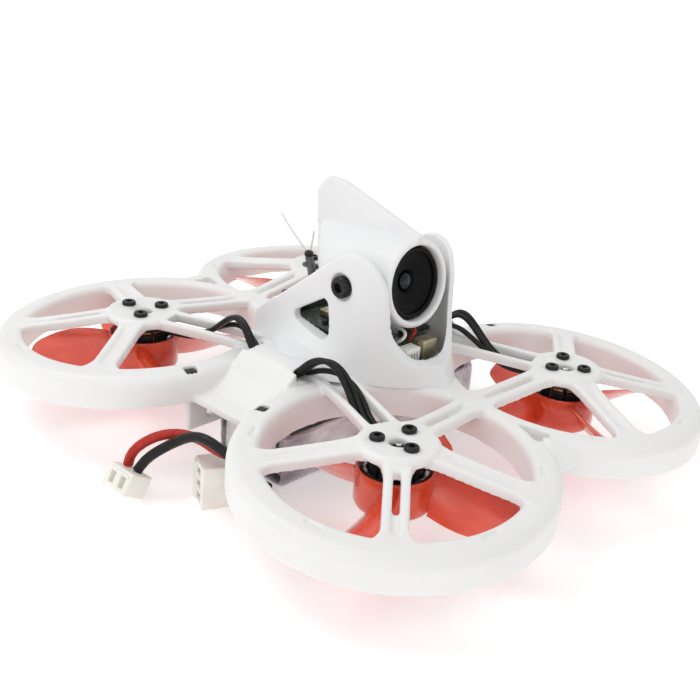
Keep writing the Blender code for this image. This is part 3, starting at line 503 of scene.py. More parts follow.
def board_green():
    """Dark solder mask with copper pours showing through as lighter fields."""
    mat = principled("solder_mask", (0.012, 0.018, 0.016), 0.3, Coat_Weight=0.3,
                     Coat_Roughness=0.15)
    tracks = pattern(mat, "Brick", Scale=900, Mortar_Size=0.03, Mortar=(0.05, 0.065, 0.05, 1),
                     Color1=(0.010, 0.015, 0.013, 1), Color2=(0.016, 0.024, 0.020, 1))
    shader = mat.node_tree.nodes["Principled BSDF"]
    mat.node_tree.links.new(tracks.outputs["Color"], shader.inputs["Base Color"])
    bump(mat, tracks.outputs["Fac"], 0.15, 0.00003)
    ramp(mat, object_noise(mat, 800, 3), [(0.3, 0.22), (0.7, 0.4)], "Roughness")
    return mat


def copper_winding():
    """Enamelled wire wound in fine turns round each tooth, with painted shade in the grooves between
    the turns.
    """
    mat = principled("copper_winding", (0.62, 0.24, 0.09), 0.28, 0.85, Coat_Weight=0.4)
    turns = pattern(mat, "Wave", Scale=1100, Distortion=1.2)
    turns.bands_direction = "Z"
    bump(mat, turns.outputs["Fac"], 0.6, 0.0001)
    # Painted shade: the colour darkens in the grooves between the turns, following the bump.
    ramp(mat, turns.outputs["Fac"], [(0.1, (0.25, 0.07, 0.025)), (0.7, (0.72, 0.3, 0.12))],
         "Base Color")
    return mat


def shrink_film():
    """Crinkled silver-mauve heat-shrunk film over the cells, with painted shade in the fold troughs and
    a painted highlight on the crests.
    """
    mat = principled("shrink_film", (0.5, 0.47, 0.5), 0.2, 0.35, Coat_Weight=0.6,
                     Coat_Roughness=0.12)
    folds = object_noise(mat, 130, 5, (1, 1.6, 1.6))
    # Painted shade and highlight: the colour runs dark in the troughs of the folds and light on their
    # crests.
    ramp(mat, folds, [(0.25, (0.20, 0.17, 0.20)), (0.5, (0.47, 0.43, 0.48)),
                      (0.78, (0.80, 0.78, 0.81))], "Base Color")
    ramp(mat, object_noise(mat, 300, 3), [(0.3, 0.12), (0.7, 0.36)], "Roughness")
    bump(mat, folds, 0.5, 0.0006)
    return mat


def milky_nylon():
    mat = principled("milky_nylon", (0.86, 0.85, 0.79), 0.36, Subsurface_Weight=0.35,
                     Subsurface_Scale=0.001)
    ramp(mat, object_noise(mat, 300, 3), [(0.3, (0.80, 0.79, 0.72)), (0.7, (0.9, 0.89, 0.84))],
         "Base Color")
    bump(mat, object_noise(mat, 2600, 2), 0.1, 0.00004)
    return mat


def coated_glass():
    """Front element: near black glass with a faint blue-green coating."""
    mat = principled("coated_glass", (0.002, 0.003, 0.005), 0.05, Coat_Weight=0.15,
                     Coat_Roughness=0.02, Specular_IOR_Level=0.25)
    ramp(mat, object_noise(mat, 260, 1), [(0.35, (0.001, 0.002, 0.003)), (0.65, (0.002, 0.005, 0.007))],
         "Base Color")
    bump(mat, object_noise(mat, 900, 2), 0.02, 0.00002)
    return mat


def tin_plate():
    mat = principled("tin_plate", (0.55, 0.5, 0.36), 0.32, 0.9)
    ramp(mat, object_noise(mat, 420, 4), [(0.3, (0.36, 0.32, 0.20)), (0.7, (0.66, 0.61, 0.46))],
         "Base Color")
    ramp(mat, object_noise(mat, 900, 3), [(0.3, 0.22), (0.7, 0.5)], "Roughness")
    bump(mat, object_noise(mat, 2200, 2, (1, 8, 1)), 0.2, 0.00003)
    return mat


def make_materials():
    return {
        "frame": moulded_plastic("frame_plastic", (0.83, 0.83, 0.822), (0.80, 0.80, 0.79)),
        "canopy": moulded_plastic("canopy_plastic", (0.82, 0.825, 0.83), (0.79, 0.795, 0.80), 0.46),
        "propeller": translucent_red(),
        "screw": dark_metal("black_oxide", (0.010, 0.010, 0.010), 0.3, 0.3, 900, 0.4),
        "bell": dark_metal("anodised_bell", (0.03, 0.03, 0.033), 0.28, 0.85, 500),
        "iron": dark_metal("lacquered_iron", (0.02, 0.02, 0.022), 0.36, 0.6, 700),
        "steel": dark_metal("bright_steel", (0.55, 0.55, 0.57), 0.2, 1.0, 600),
        "magnet": dark_metal("nickelled_magnet", (0.42, 0.42, 0.44), 0.24, 1.0, 400),
        "copper": copper_winding(),
        "black_wire": silicone("black_silicone", (0.004, 0.004, 0.004), (0.012, 0.012, 0.012)),
        "red_wire": silicone("red_silicone", (0.40, 0.018, 0.008), (0.52, 0.035, 0.018)),
        "board": board_green(),
        "chip": dark_metal("chip_epoxy", (0.014, 0.014, 0.016), 0.5, 0.0, 1200),
        "tin": tin_plate(),
        "gold": dark_metal("gold_pad", (0.55, 0.40, 0.14), 0.25, 1.0, 700),
        "lens_black": dark_metal("lens_black", (0.002, 0.002, 0.002), 0.42, 0.0, 1600, 0.12),
        "glass": coated_glass(),
        "nylon": milky_nylon(),
        "film": shrink_film(),
        "foil": dark_metal("pouch_foil", (0.45, 0.45, 0.47), 0.25, 0.9, 260),
        "rubber": silicone("grommet_rubber", (0.02, 0.02, 0.02), (0.05, 0.05, 0.05)),
        "sleeve": silicone("grey_sleeve", (0.10, 0.10, 0.105), (0.19, 0.19, 0.19)),
        "whisker": moulded_plastic("clear_jacket", (0.78, 0.78, 0.77), (0.68, 0.68, 0.67), 0.25),
    }


# Frame moulding
def droop(x, y):
    """Height of the frame at (x, y) over its height at the motor axes."""
    axis = MOTOR_AXES["front_left"]
    diagonal = math.hypot(axis.x, axis.y)
    reach = (abs(x) * abs(axis.x) + abs(y) * abs(axis.y)) / diagonal
    return DROOP * (diagonal - reach)


def apply_droop(obj):
    for vertex in obj.data.vertices:
        vertex.co.z += droop(vertex.co.x, vertex.co.y)
    return obj


def corner_direction(corner, degrees):
    """Unit vector at an angle that is mirrored from corner to corner."""
    side, end = CORNERS[corner]
    angle = math.radians(degrees)
    return Vector((side * math.cos(angle), end * math.sin(angle), 0))


def corner_frame(corner, degrees):
    """Motor axis of a corner, and the unit vectors along and across an angle."""
    along = corner_direction(corner, degrees)
    return MOTOR_AXES[corner], along, Vector((-along.y, along.x, 0))


def corner_box(corner, degrees, start, stop, half_width, low=-6, high=6, fillet=0):
    """Upright box along a direction out of a corner's motor axis."""
    axis, along, across = corner_frame(corner, degrees)
    outline = rounded([(start, -half_width, fillet), (stop, -half_width, fillet),
                       (stop, half_width, fillet), (start, half_width, fillet)])
    points = [axis + along * a + across * b for a, b in outline]
    return prism([(point.x, point.y) for point in points], low, high)


def duct_core(side, end, radius, low, high):
    """Cylinder about the motor axis on the given side and end."""
    axis = MOTOR_AXES["front_left"]
    return cylinder(radius, low, high, 96, (side * axis.x, end * abs(axis.y)))


def duct_profile():
    """Inverted U with a rounded lip, a throat wall and an outer skirt."""
    lip_r, shoulder_r = 1.3, 1.9
    outline = [(THROAT_R, -DUCT_HEIGHT)]
    outline += arc(THROAT_R + lip_r, -lip_r, lip_r, math.pi, math.pi / 2, 6)
    outline += arc(DUCT_R - shoulder_r, -0.1 - shoulder_r, shoulder_r, math.pi / 2, 0, 8)
    outline += [(DUCT_R, -DUCT_HEIGHT), (DUCT_R - 1.0, -DUCT_HEIGHT),
                (DUCT_R - 1.3, -2.6), (DUCT_R - 2.1, -1.5), (THROAT_R + 1.9, -1.5),
                (THROAT_R + 1.2, -2.6), (THROAT_R + 1.0, -DUCT_HEIGHT)]
    return outline


def make_duct(corner):
    side, end = CORNERS[corner]
    axis = MOTOR_AXES[corner]
    duct = turned(duct_profile(), 144, "duct", (axis.x, axis.y))
    overlap = 0.05
    cut(duct, box((-side * 10, -60, -9), (-side * overlap, 60, 6)))
    cut(duct, corner_box(corner, CHANNEL_ANGLE, THROAT_R - 2, DUCT_R + 2, 1.9, -1.2))
    for degrees in NOTCH_ANGLES:
        cut(duct, corner_box(corner, degrees, 21.4, 22.2, 1.5, -0.45))
    cut(duct, corner_box(corner, BAND_SLOT_ANGLE, 22.3, 24.3, 1.05, -9))
    window = rounded([(0, end * 36.6, 0.4), (end * 2.1, end * 42.4, 0.5),
                      (-end * 2.1, end * 42.4, 0.5)])
    cut(duct, prism(window, -9, 4))
    return apply_droop(duct)


def bar(corner, degrees, offset, stations, thickness):
    """Bar out of a hub: stations are (reach, half width, top, groove, groove depth)."""
    axis, along, across = corner_frame(corner, degrees)
    soft = 0.28
    rings = []
    for reach, half, top, groove, depth in stations:
        inner = groove / 2
        section = [(-half, -soft), (-half + soft, 0), (-inner - soft, 0), (-inner, -min(soft, depth)),
                   (-inner, -depth), (inner, -depth), (inner, -min(soft, depth)),
                   (inner + soft, 0), (half - soft, 0), (half, -soft), (half, -thickness),
                   (-half, -thickness)]
        ring = []
        for shift, drop in section:
            spot = axis + along * reach + across * (offset + shift)
            ring.append((spot.x, spot.y, top + drop + droop(spot.x, spot.y)))
        rings.append(ring)
    return loft(rings, "bar")


def make_strut(corner, degrees, waist, groove, depth):
    """U-shaped bar that leaves the hub, falls to the lip and flares into it."""
    start, stop = 4.8, THROAT_R + 1.2
    steps = 22
    stations = []
    for step in range(steps + 1):
        share = step / steps
        flare = 1.6 * max(0.0, 1 - share / 0.22) ** 2 + 3.2 * max(0.0, (share - 0.8) / 0.2) ** 2
        top = HUB_TOP - 0.1 - (HUB_TOP - 0.15) * (1 - (1 - share) ** 1.25)
        fade = min(1.0, max(0.02, (share - 0.12) / 0.12), max(0.02, (0.93 - share) / 0.1))
        stations.append((start + (stop - start) * share, (waist + flare) / 2, top, groove,
                         depth * fade))
    return bar(corner, degrees, 0.0, stations, 1.7)


def make_struts(corner):
    """Four plain struts and the two rails between which the motor's leads drop."""
    parts = [make_strut(corner, *strut) for strut in STRUTS]
    cut(parts[0], corner_box(corner, STRUTS[0][0], 7.4, 15.2, 0.56, fillet=0.3))
    cut(parts[2], corner_box(corner, STRUTS[2][0], 8.0, 15.0, 0.4, fillet=0.3))
    for side in (-1, 1):
        rails = [(reach, half, top, 0.2, 0.02)
                 for reach, half, top in ((4.6, 0.75, 1.95), (7.5, 0.6, 1.75), (13.0, 0.55, 1.45),
                                          (18.0, 0.6, 1.15), (21.5, 0.75, 0.85),
                                          (24.5, 1.0, 0.55), (27.0, 1.2, 0.3))]
        parts.append(bar(corner, CHANNEL_ANGLE, side * 2.3, rails, 1.8))
    return parts


def make_hub(corner):
    """Disc with a sunken middle and a shaft hole; the lead channel bites into it."""
    axis = MOTOR_AXES[corner]
    profile = [(1.5, HUB_BOTTOM), (HUB_R - 0.4, HUB_BOTTOM), (HUB_R, HUB_BOTTOM + 0.4),
               (HUB_R, HUB_TOP - 0.6), (HUB_R - 0.6, HUB_TOP), (2.4, HUB_TOP),
               (1.9, HUB_TOP - 0.25), (1.5, HUB_TOP - 0.5)]
    hub = turned(profile, 48, "hub", (axis.x, axis.y))
    return cut(hub, corner_box(corner, CHANNEL_ANGLE, 5.9, 12.0, 1.7, fillet=0.3))


def make_bridge(end):
    """Web that closes the gap between two neighbouring ducts, with its arch."""
    reach = 48.3
    web = prism([(-16, end * 44), (-8, end * 46.6), (0, end * reach), (8, end * 46.6),
                 (16, end * 44), (16, end * 38), (-16, end * 38)], -DUCT_HEIGHT, -0.1)
    for side in (-1, 1):
        cut(web, duct_core(side, end, DUCT_R - 0.6, -12, 6))
    cut(web, cylinder(17.5, -12, 6, 96, (0, end * (reach + 17.2))))
    cut(web, prism([(-5.5, end * 43.9), (5.5, end * 43.9), (3.6, end * 46.6),
                    (-3.6, end * 46.6)], -9, -1.5))
    arch = prism(rounded([(-6.5, -9, 0), (-6.5, -2.6, 3.0), (6.5, -2.6, 3.0), (6.5, -9, 0)]),
                 end * 46, end * 60, "Y")
    cut(web, arch)
    above = [(end * 42.5, 0.1), (end * 44.5, -0.25), (end * 46.5, -1.0), (end * 49.0, -2.6),
             (end * 50.0, -2.6), (end * 50.0, 5.0), (end * 42.5, 5.0)]
    cut(web, prism(above, -20, 20, "X"))
    return apply_droop(web)


def make_deck():
    """Plate between the ducts, falling to both sides, with the battery's walls."""
    half_section = [(16.5, DECK_TOP), (19.0, 1.5), (20.6, 1.35), (22.4, 0.5), (24.5, -1.1),
                    (26.8, -2.5), (29.5, -3.3)]
    underside = [(x, z - DECK_THICKNESS) for x, z in reversed(half_section)]
    right_half = half_section + underside
    left_half = [(-x, z) for x, z in reversed(right_half)]
    plate = prism(right_half + left_half, -19.5, 19.5, "Y", "deck")
    rear_wall = box((-29.0, 8.9, -10.9), (29.0, 10.1, DECK_TOP - 0.5))
    front_wall = box((-6.5, -10.1, -9.4), (6.5, -8.9, DECK_TOP - 0.5))
    unite(plate, front_wall, rear_wall)
    for side in (-1, 1):
        unite(plate, make_lead_hood(side))
    for side, end in CORNERS.values():
        cut(plate, duct_core(side, end, DUCT_R - 0.6, -5.4, 6))
    for side in (-1, 1):
        hole = Matrix.Translation((side * 24.3, 0, -8.5)) @ Matrix.Rotation(-math.pi / 2, 4, "X")
        cut(plate, rotated(cylinder(0.8, 7, 12, 24), hole))
    return plate


def make_lead_hood(side):
    """Rounded ridge at the deck's side under which two motors' lead connectors sit."""
    section = rounded([(13.0, 0.0, 0), (13.6, 3.1, 1.2), (17.2, 3.5, 3.0), (19.8, 3.2, 2.6),
                       (22.6, 0.4, 1.5), (24.0, -1.6, 0)], 6)
    hood = prism([(side * x, z) for x, z in section], -6.7, 6.7, "Y")
    inner_x, outer_x = side * 16.0, side * 19.7
    for end in (-1, 1):
        cut(hood, bevelled_box((inner_x, end * 3.0, 1.15), (outer_x, end * 8.0, 2.85), 0.4),
            bevelled_box((inner_x, end * 5.3, 1.3), (outer_x, end * 8.0, 5.0), 0.6),
            duct_core(side, end, THROAT_R + 0.9, -5, 9))
    return hood


def make_frame():
    parts = [make_deck(), make_bridge(-1), make_bridge(1)]
    replaced = ["centre_deck", "duct_bridge_front", "duct_bridge_rear"]
    for corner in CORNERS:
        parts += [make_duct(corner), make_hub(corner)]
        parts += make_struts(corner)
        replaced += ["duct_" + corner, "motor_mount_" + corner]
    skin = moulded("frame_moulding", parts, voxel=0.24, smoothing=3, keep=0.4)
    place(skin, "frame", "frame", replaced, None)


def make_band_pads():
    """Dark rubber seen through the band slots in the ducts' lips."""
    pads = []
    for corner in CORNERS:
        pad = corner_box(corner, BAND_SLOT_ANGLE, 22.45, 24.15, 0.9, -2.2, -0.5)
        pads.append(bevel_edges(apply_droop(pad), 0.25, 3))
    place(joined("band_pads", pads), "frame", "rubber")


# Motors
def button_screw(head_r, head_height, shank_r, shank_length, socket_r):
    """Button-head screw with a hexagon socket; the head's seat is at height 0."""
    edge = 0.45 * head_height
    dome = arc(head_r - edge, head_height - edge, edge, 0, math.pi / 2, 7)
    profile = [(0, -shank_length), (shank_r, -shank_length), (shank_r, 0), (head_r, 0)]
    profile += dome + [(socket_r * 1.25, head_height), (0, head_height)]
    screw = turned(profile, 40, "screw")
    socket = cylinder(socket_r, head_height * 0.35, head_height * 2, 6)
    return cut(screw, socket)


def make_mount_screws(corner):
    axis = MOTOR_AXES[corner]
    template = button_screw(head_r=1.2, head_height=0.62, shank_r=0.55, shank_length=2.2,
                            socket_r=0.56)
    parts = []
    for degrees in SCREW_ANGLES:
        spot = axis + corner_direction(corner, degrees) * SCREW_CIRCLE_R
        any_way = Matrix.Rotation(degrees, 4, "Z")  # read as radians, so the sockets stand anyhow
        turn = Matrix.Translation((spot.x, spot.y, HUB_TOP + 0.05)) @ any_way
        parts.append(rotated(copied(template, "screw"), turn))
    bpy.data.objects.remove(template)
    screws = joined("hub_screws_" + corner, parts)
    place(screws, "frame", "screw", ["mount_screws_" + corner], 30)


def around(axis, count):
    """Placements evenly spaced about a motor axis."""
    return [Matrix.Translation(axis) @ Matrix.Rotation(2 * math.pi * step / count, 4, "Z")
            for step in range(count)]


def make_stator(corner):
    """Base, laminated core with nine teeth, and a coil round each tooth."""
    axis = MOTOR_AXES[corner]
    centre = (axis.x, axis.y)
    base = turned([(1.0, -0.45), (4.5, -0.45), (4.9, -0.2), (4.9, 0.2), (4.6, 0.5), (1.0, 0.5)],
                  48, "base", centre)
    tube = turned([(0.85, -4.6), (1.6, -4.6), (1.6, -0.3), (0.85, -0.3)], 24, "tube", centre)
    core_parts = [base, tube]
    for turn in around(axis, COILS):
        tooth = bevelled_box((1.4, -0.35, -3.3), (4.0, 0.35, -1.3), 0.08)
        head = bevelled_box((3.6, -1.15, -3.3), (4.05, 1.15, -1.3), 0.1)
        core_parts += [rotated(tooth, turn), rotated(head, turn)]
    core = joined("stator_core_" + corner, core_parts)
    place(core, "frame", "iron", ["motor_stator_" + corner])
    coils = []
    for turn in around(axis, COILS):
        for turn_number in range(4):
            inner = 1.9 + 0.43 * turn_number
            half_width = 0.62 + 0.1 * turn_number
            outline = rounded([(-half_width, -3.62, 0.3), (half_width, -3.62, 0.3),
                               (half_width, -0.92, 0.3), (-half_width, -0.92, 0.3)], 3)
            bundle = prism(outline, inner, inner + 0.4, "X")
            coils.append(rotated(bevel_edges(bundle, 0.1, 1), turn))
    windings = joined("coils_" + corner, coils)
    place(windings, "frame", "copper", ["motor_windings_" + corner])


def make_bell(corner):
    """Turning cup of a motor with its magnets and polished shaft."""
    axis = MOTOR_AXES[corner]
    centre = (axis.x, axis.y)
    body = "rotor_" + corner
    inner_r, floor = 5.02, BELL_BOTTOM + 0.8
    profile = [(SHAFT_R, BELL_BOTTOM), (BELL_R - 0.6, BELL_BOTTOM), (BELL_R - 0.15, BELL_BOTTOM + 0.2),
               (BELL_R, BELL_BOTTOM + 0.6), (BELL_R, BELL_TOP - 0.5), (BELL_R - 0.12, BELL_TOP - 0.4),
               (BELL_R - 0.12, BELL_TOP - 0.1), (BELL_R - 0.2, BELL_TOP), (inner_r, BELL_TOP),
               (inner_r, floor), (SHAFT_R, floor)]
    bell = turned(profile, 64, "bell_cup_" + corner, centre)
    place(bell, body, "bell", ["motor_bell_" + corner], 30)
    magnets = []
    for turn in around(axis, MAGNETS):
        block = bevelled_box((4.32, -1.05, floor + 0.3), (inner_r + 0.02, 1.05, BELL_TOP - 0.2), 0.12)
        magnets.append(rotated(block, turn))
    ring = joined("bell_magnets_" + corner, magnets)
    place(ring, body, "magnet")
    shaft = turned([(0, BELL_BOTTOM - 1.2), (SHAFT_R - 0.1, BELL_BOTTOM - 1.2),
                    (SHAFT_R, BELL_BOTTOM - 1.1), (SHAFT_R, HUB_TOP - 0.65),
                    (SHAFT_R - 0.12, HUB_TOP - 0.5), (0, HUB_TOP - 0.48)], 32,
                   "bell_shaft_" + corner, centre)
    place(shaft, body, "steel", (), 30)


# Propellers
def blade(turn_sign, degrees):
    """One steep, wide blade: a loft of thin aerofoil sections with a round tip."""
    root_r = CUP_R - 0.2
    rings = []
    stations = 16
    for step in range(stations):
        share = 1 - (1 - step / (stations - 1)) ** 1.4
        radius = root_r + (PROPELLER_R - root_r) * share
        chord = 7.2 + 3.2 * math.sin(math.pi * min(1.0, share * 0.95)) - 0.9 * share
        tip = max(0.0, (share - 0.84) / 0.16)
        chord *= math.sqrt(max(0.04, 1 - tip ** 2.6))
        pitch = math.radians(52 - 26 * share)
        thickness = 0.85 - 0.4 * share
        sweep = -1.6 * share ** 2
        middle = -5.2 - 0.35 * share
        forward = Vector((0, math.cos(pitch), math.sin(pitch)))
        normal = Vector((0, -math.sin(pitch), math.cos(pitch)))
        section = []
        for along in (-0.5, -0.3, 0.0, 0.28, 0.44, 0.5):
            section.append((along, 0.5 * math.sqrt(max(0.0, 1 - (2 * abs(along)) ** 2.2)) + 0.04))
        outline = section + [(along, -off) for along, off in section[::-1]]
        ring = []
        for along, off in outline:
            camber = 0.35 * (1 - 4 * along * along)
            point = Vector((radius, sweep, middle)) + forward * (along * chord)
            point += normal * (off * thickness + camber)
            limit = math.sqrt(max(0.0, PROPELLER_R ** 2 - point.y ** 2))
            point.x = min(point.x, limit)
            point.y *= turn_sign
            ring.append(point)
        rings.append(ring)
    return rotated(loft(rings, "blade"), Matrix.Rotation(math.radians(degrees), 4, "Z"))


def make_propeller(corner):
    side, end = CORNERS[corner]
    axis = MOTOR_AXES[corner]
    inner_r = BELL_R + 0.3
    hole_r = SHAFT_R + 0.3
    cup = turned([(hole_r, CUP_BOTTOM), (CUP_R - 0.9, CUP_BOTTOM), (CUP_R - 0.3, CUP_BOTTOM + 0.25),
                  (CUP_R, CUP_BOTTOM + 0.9), (CUP_R, CUP_TOP - 0.2), (CUP_R - 0.12, CUP_TOP),
                  (inner_r + 0.1, CUP_TOP), (inner_r, CUP_TOP - 0.15),
                  (inner_r, BELL_BOTTOM - 0.3), (hole_r, BELL_BOTTOM - 0.3)], 64, "cup")
    first = 25 if side * end > 0 else -25
    for step in range(4):
        unite(cup, blade(side * end, first + 90 * step))
    cut(cup, cylinder(inner_r - 0.01, BELL_BOTTOM - 0.29, 4, 64))
    cup.name = "four_blade_propeller_" + corner
    rotated(cup, Matrix.Translation(axis))
    place(cup, "rotor_" + corner, "propeller", ["propeller_" + corner], 50)


# Motor leads
def make_motor_leads(corner):
    """Three silicone leads from their connector, over the lip, into the channel."""
    side, end = CORNERS[corner]
    plug = bevelled_box((side * 16.2, end * 3.3, 1.3), (side * 19.5, end * 5.1, 2.7), 0.2,
                        "motor_lead_plug_" + corner)
    place(plug, "frame", "chip")
    middle = [(17.85, 4.6, 2.0), (17.8, 6.0, 2.6), (17.4, 8.2, 5.3), (16.8, 11.0, 6.3),
              (16.4, 13.4, 5.4), (16.5, 15.6, 3.6), (17.0, 17.6, 1.7), (17.7, 19.5, 0.3),
              (18.4, 21.5, -0.4), (19.5, 24.6, -0.45), (20.2, 26.1, -0.4)]
    for number, (spread, rise) in enumerate(((-1.03, 0.5), (0.0, 1.0), (1.03, 1.08))):
        route = []
        for x, y, z in middle:
            height = 2.0 + (z - 2.0) * rise if z > 2.0 else z
            route.append((side * (x + 0.94 * spread), end * (y - 0.34 * spread), height))
        lay_wire(f"motor_lead_{corner}_{number + 1}", route, MOTOR_LEAD_R, "frame",
                 "black_wire", () if number else ["motor_leads_" + corner])


# Electronics
def make_flight_controller():
    half, low, high = 18.2, 1.7, 2.6
    hole_reach, switch_half = 14.4, 1.5
    outline = rounded([(half, 0, 1.5), (0, half, 1.5), (-half, 0, 1.5), (0, -half, 1.5)])
    board = prism(outline, low, high, "Z", "controller_board")
    for spot in ((hole_reach, 0), (0, hole_reach), (-hole_reach, 0), (0, -hole_reach)):
        cut(board, cylinder(1.6, -2, 6, 32, spot))
    place(board, "frame", "board", ["flight_controller_board"])
    parts = []
    for x in (-6.1, 6.1):
        for y in (-5.1, 3.2):
            parts.append(bevelled_box((x - switch_half, y - switch_half, high + 0.02),
                                      (x + switch_half, y + switch_half, high + 0.8), 0.12))
            for pin in range(5):
                offset = -1.2 + 0.6 * pin
                for edge_x in (x - switch_half, x + switch_half):
                    parts.append(box((edge_x - 0.25, y + offset - 0.12, high + 0.01),
                                     (edge_x + 0.25, y + offset + 0.12, high + 0.2)))
    place(joined("power_switches", parts), "frame", "chip")
    processor = bevelled_box((-3.5, -3.5, high + 0.05), (3.5, 3.5, high + 0.95), 0.15, "processor")
    cut(processor, cylinder(0.35, high + 0.85, high + 2, 20, (-2.6, 2.6)))
    place(processor, "frame", "chip", ["processor_chip"])
    pads = []
    for side_x, side_y in ((1, 1), (1, -1), (-1, 1), (-1, -1)):
        for step in range(7):
            share = 0.18 + 0.1 * step
            x, y = side_x * half * share * 0.93, side_y * half * (1 - share) * 0.93
            if abs(x) > 11.5 or abs(y) > 11.5:
                continue
            pads.append(cylinder(0.42, high + 0.005, high + 0.07, 16, (x, y)))
    place(joined("solder_pads", pads), "frame", "gold")
    socket = bevelled_box((-3.8, -13.0, high + 0.02), (3.8, -7.6, high + 2.4), 0.5, "micro_socket")
    cut(socket, box((-3.2, -14.0, high + 0.5), (3.2, -8.4, high + 1.9)))
    place(socket, "frame", "tin")


def make_video_transmitter():
    low = 5.3
    board = bevelled_box((-8.3, -10.4, low), (8.3, 7.4, low + 0.8), 0.2, "transmitter_board")
    unite(board, box((-5.0, -13.6, low + 0.05), (5.0, -10.1, low + 0.75)))
    posts = [cylinder(0.9, 2.65, low + 0.2, 24, (x, y)) for x in (-6.9, 6.9) for y in (-9.2, 6.0)]
    place(joined("transmitter_posts", posts), "frame", "gold")
    place(board, "frame", "board", ["video_transmitter_board"])
    can = bevelled_box((-4.5, -5.0, low + 0.85), (4.5, 4.5, low + 2.0), 0.25, "shield_can")
    for x in (-2.4, 0.0, 2.4):
        for y in (-2.8, -0.2, 2.4):
            cut(can, cylinder(0.35, low + 1.8, low + 3, 12, (x, y)))
    place(can, "frame", "tin", ["video_transmitter_can"])
    header = bevelled_box((-4.0, -15.9, 3.4), (-0.4, -13.5, low + 0.9), 0.2, "transmitter_header")
    for x in (-3.3, -2.6, -1.9, -1.2):
        cut(header, box((x - 0.2, -16.5, 4.0), (x + 0.2, -15.0, 5.4)))
    place(header, "frame", "nylon")
    crystal = bevelled_box((0.3, -15.9, 3.4), (3.8, -13.5, low + 1.6), 0.3, "crystal_can")
    place(crystal, "frame", "tin")
    small = []
    for index, (x, y) in enumerate(((-6.6, -8.0), (-5.2, -8.3), (5.4, -8.2), (6.6, -7.0),
                                    (-6.4, 1.0), (6.2, 2.2), (-1.6, -9.2), (1.4, -9.8))):
        size = 0.4 + 0.12 * (index % 3)
        small.append(bevelled_box((x - size, y - size * 0.6, low + 0.8),
                                  (x + size, y + size * 0.6, low + 1.35), 0.06))
    place(joined("chip_resistors", small), "frame", "chip")
    capacitor = turned([(0, -3.2), (1.2, -3.2), (1.5, -2.9), (1.5, 2.5), (1.38, 2.65), (1.5, 2.8),
                        (1.5, 3.1), (1.3, 3.2), (0, 3.2)], 40, "capacitor_can")
    rotated(capacitor, Matrix.Translation((0, 9.6, 5.0)) @ Matrix.Rotation(math.pi / 2, 4, "Y"))
    place(capacitor, "frame", "chip", ["power_capacitor"])
    lead_spots = (("camera_lead_red", 1.1, "red_wire"), ("camera_lead_black", -0.1, "black_wire"),
                  ("camera_lead_white", -1.3, "nylon"))
    for name, x, key in lead_spots:
        route = [(x - 1.2, -12.4, low + 1.0), (x - 1.0, -13.3, low + 1.8), (x - 0.4, -13.5, low + 2.6),
                 (x, -12.4, low + 3.1), (x, -9.6, low + 3.1), (x, -7.0, low + 3.2)]
        lay_wire(name, route, 0.3, "frame", key,
                 bend=("camera", (0, -12.4, low + 0.8), (0, -12.4, low + 2.7)))


def make_antenna():
    lay_wire("antenna_tube", [(0, 11.9, 7.6), (0, 11.3, 9.0), (0, 11.3, 10.6), (0, 11.9, 12.2),
                              (0, 12.4, 13.6)], 0.75, "frame", "sleeve", ["antenna_sleeve"])
    whiskers = (("antenna_whisker_long", [(0, 12.5, 13.9), (-0.3, 13.4, 14.9), (-0.6, 15.0, 16.4),
                                          (-0.7, 17.4, 18.2), (-0.4, 19.8, 19.8)]),
                ("antenna_whisker_short", [(0, 12.45, 13.9), (0.3, 12.4, 15.4), (0.5, 12.3, 16.8),
                                           (0.6, 12.2, 18.4)]))
    for name, route in whiskers:
        lay_wire(name, route, 0.2, "frame", "whisker",
                 ["antenna_wire"] if name.endswith("long") else ())
    ferrule = bevelled_box((-1.25, 11.9, 11.9), (1.25, 12.9, 12.7), 0.25, "antenna_clip")
    place(ferrule, "frame", "sleeve")
    bead = turned([(0, 13.6), (0.7, 13.65), (0.85, 14.0), (0.8, 14.5), (0.4, 14.8), (0, 14.85)],
                  24, "antenna_bead", (0, 12.5))
    place(bead, "frame", "rubber")


# Canopy
def diamond(scale, height, fillet=4.0):
    """Ring of points of the canopy's rounded, diamond-shaped foot."""
    reach_x, reach_y = FOOT_REACH_X * scale, FOOT_REACH_Y * scale
    outline = rounded([(reach_x, 0, fillet), (0, reach_y, fillet), (-reach_x, 0, fillet),
                       (0, -reach_y, fillet)], 12)
    return [(x, y, height) for x, y in outline]


def canopy_plan(half_width, radius, back):
    """U-shaped plan outline: two straight sides joined by a half-round nose."""
    meeting = math.acos(min(1.0, half_width / radius))
    return ([(half_width, back), (-half_width, back)]
            + arc(0, NOSE_CENTRE_Y, radius, math.pi + meeting, 2 * math.pi - meeting, 36))


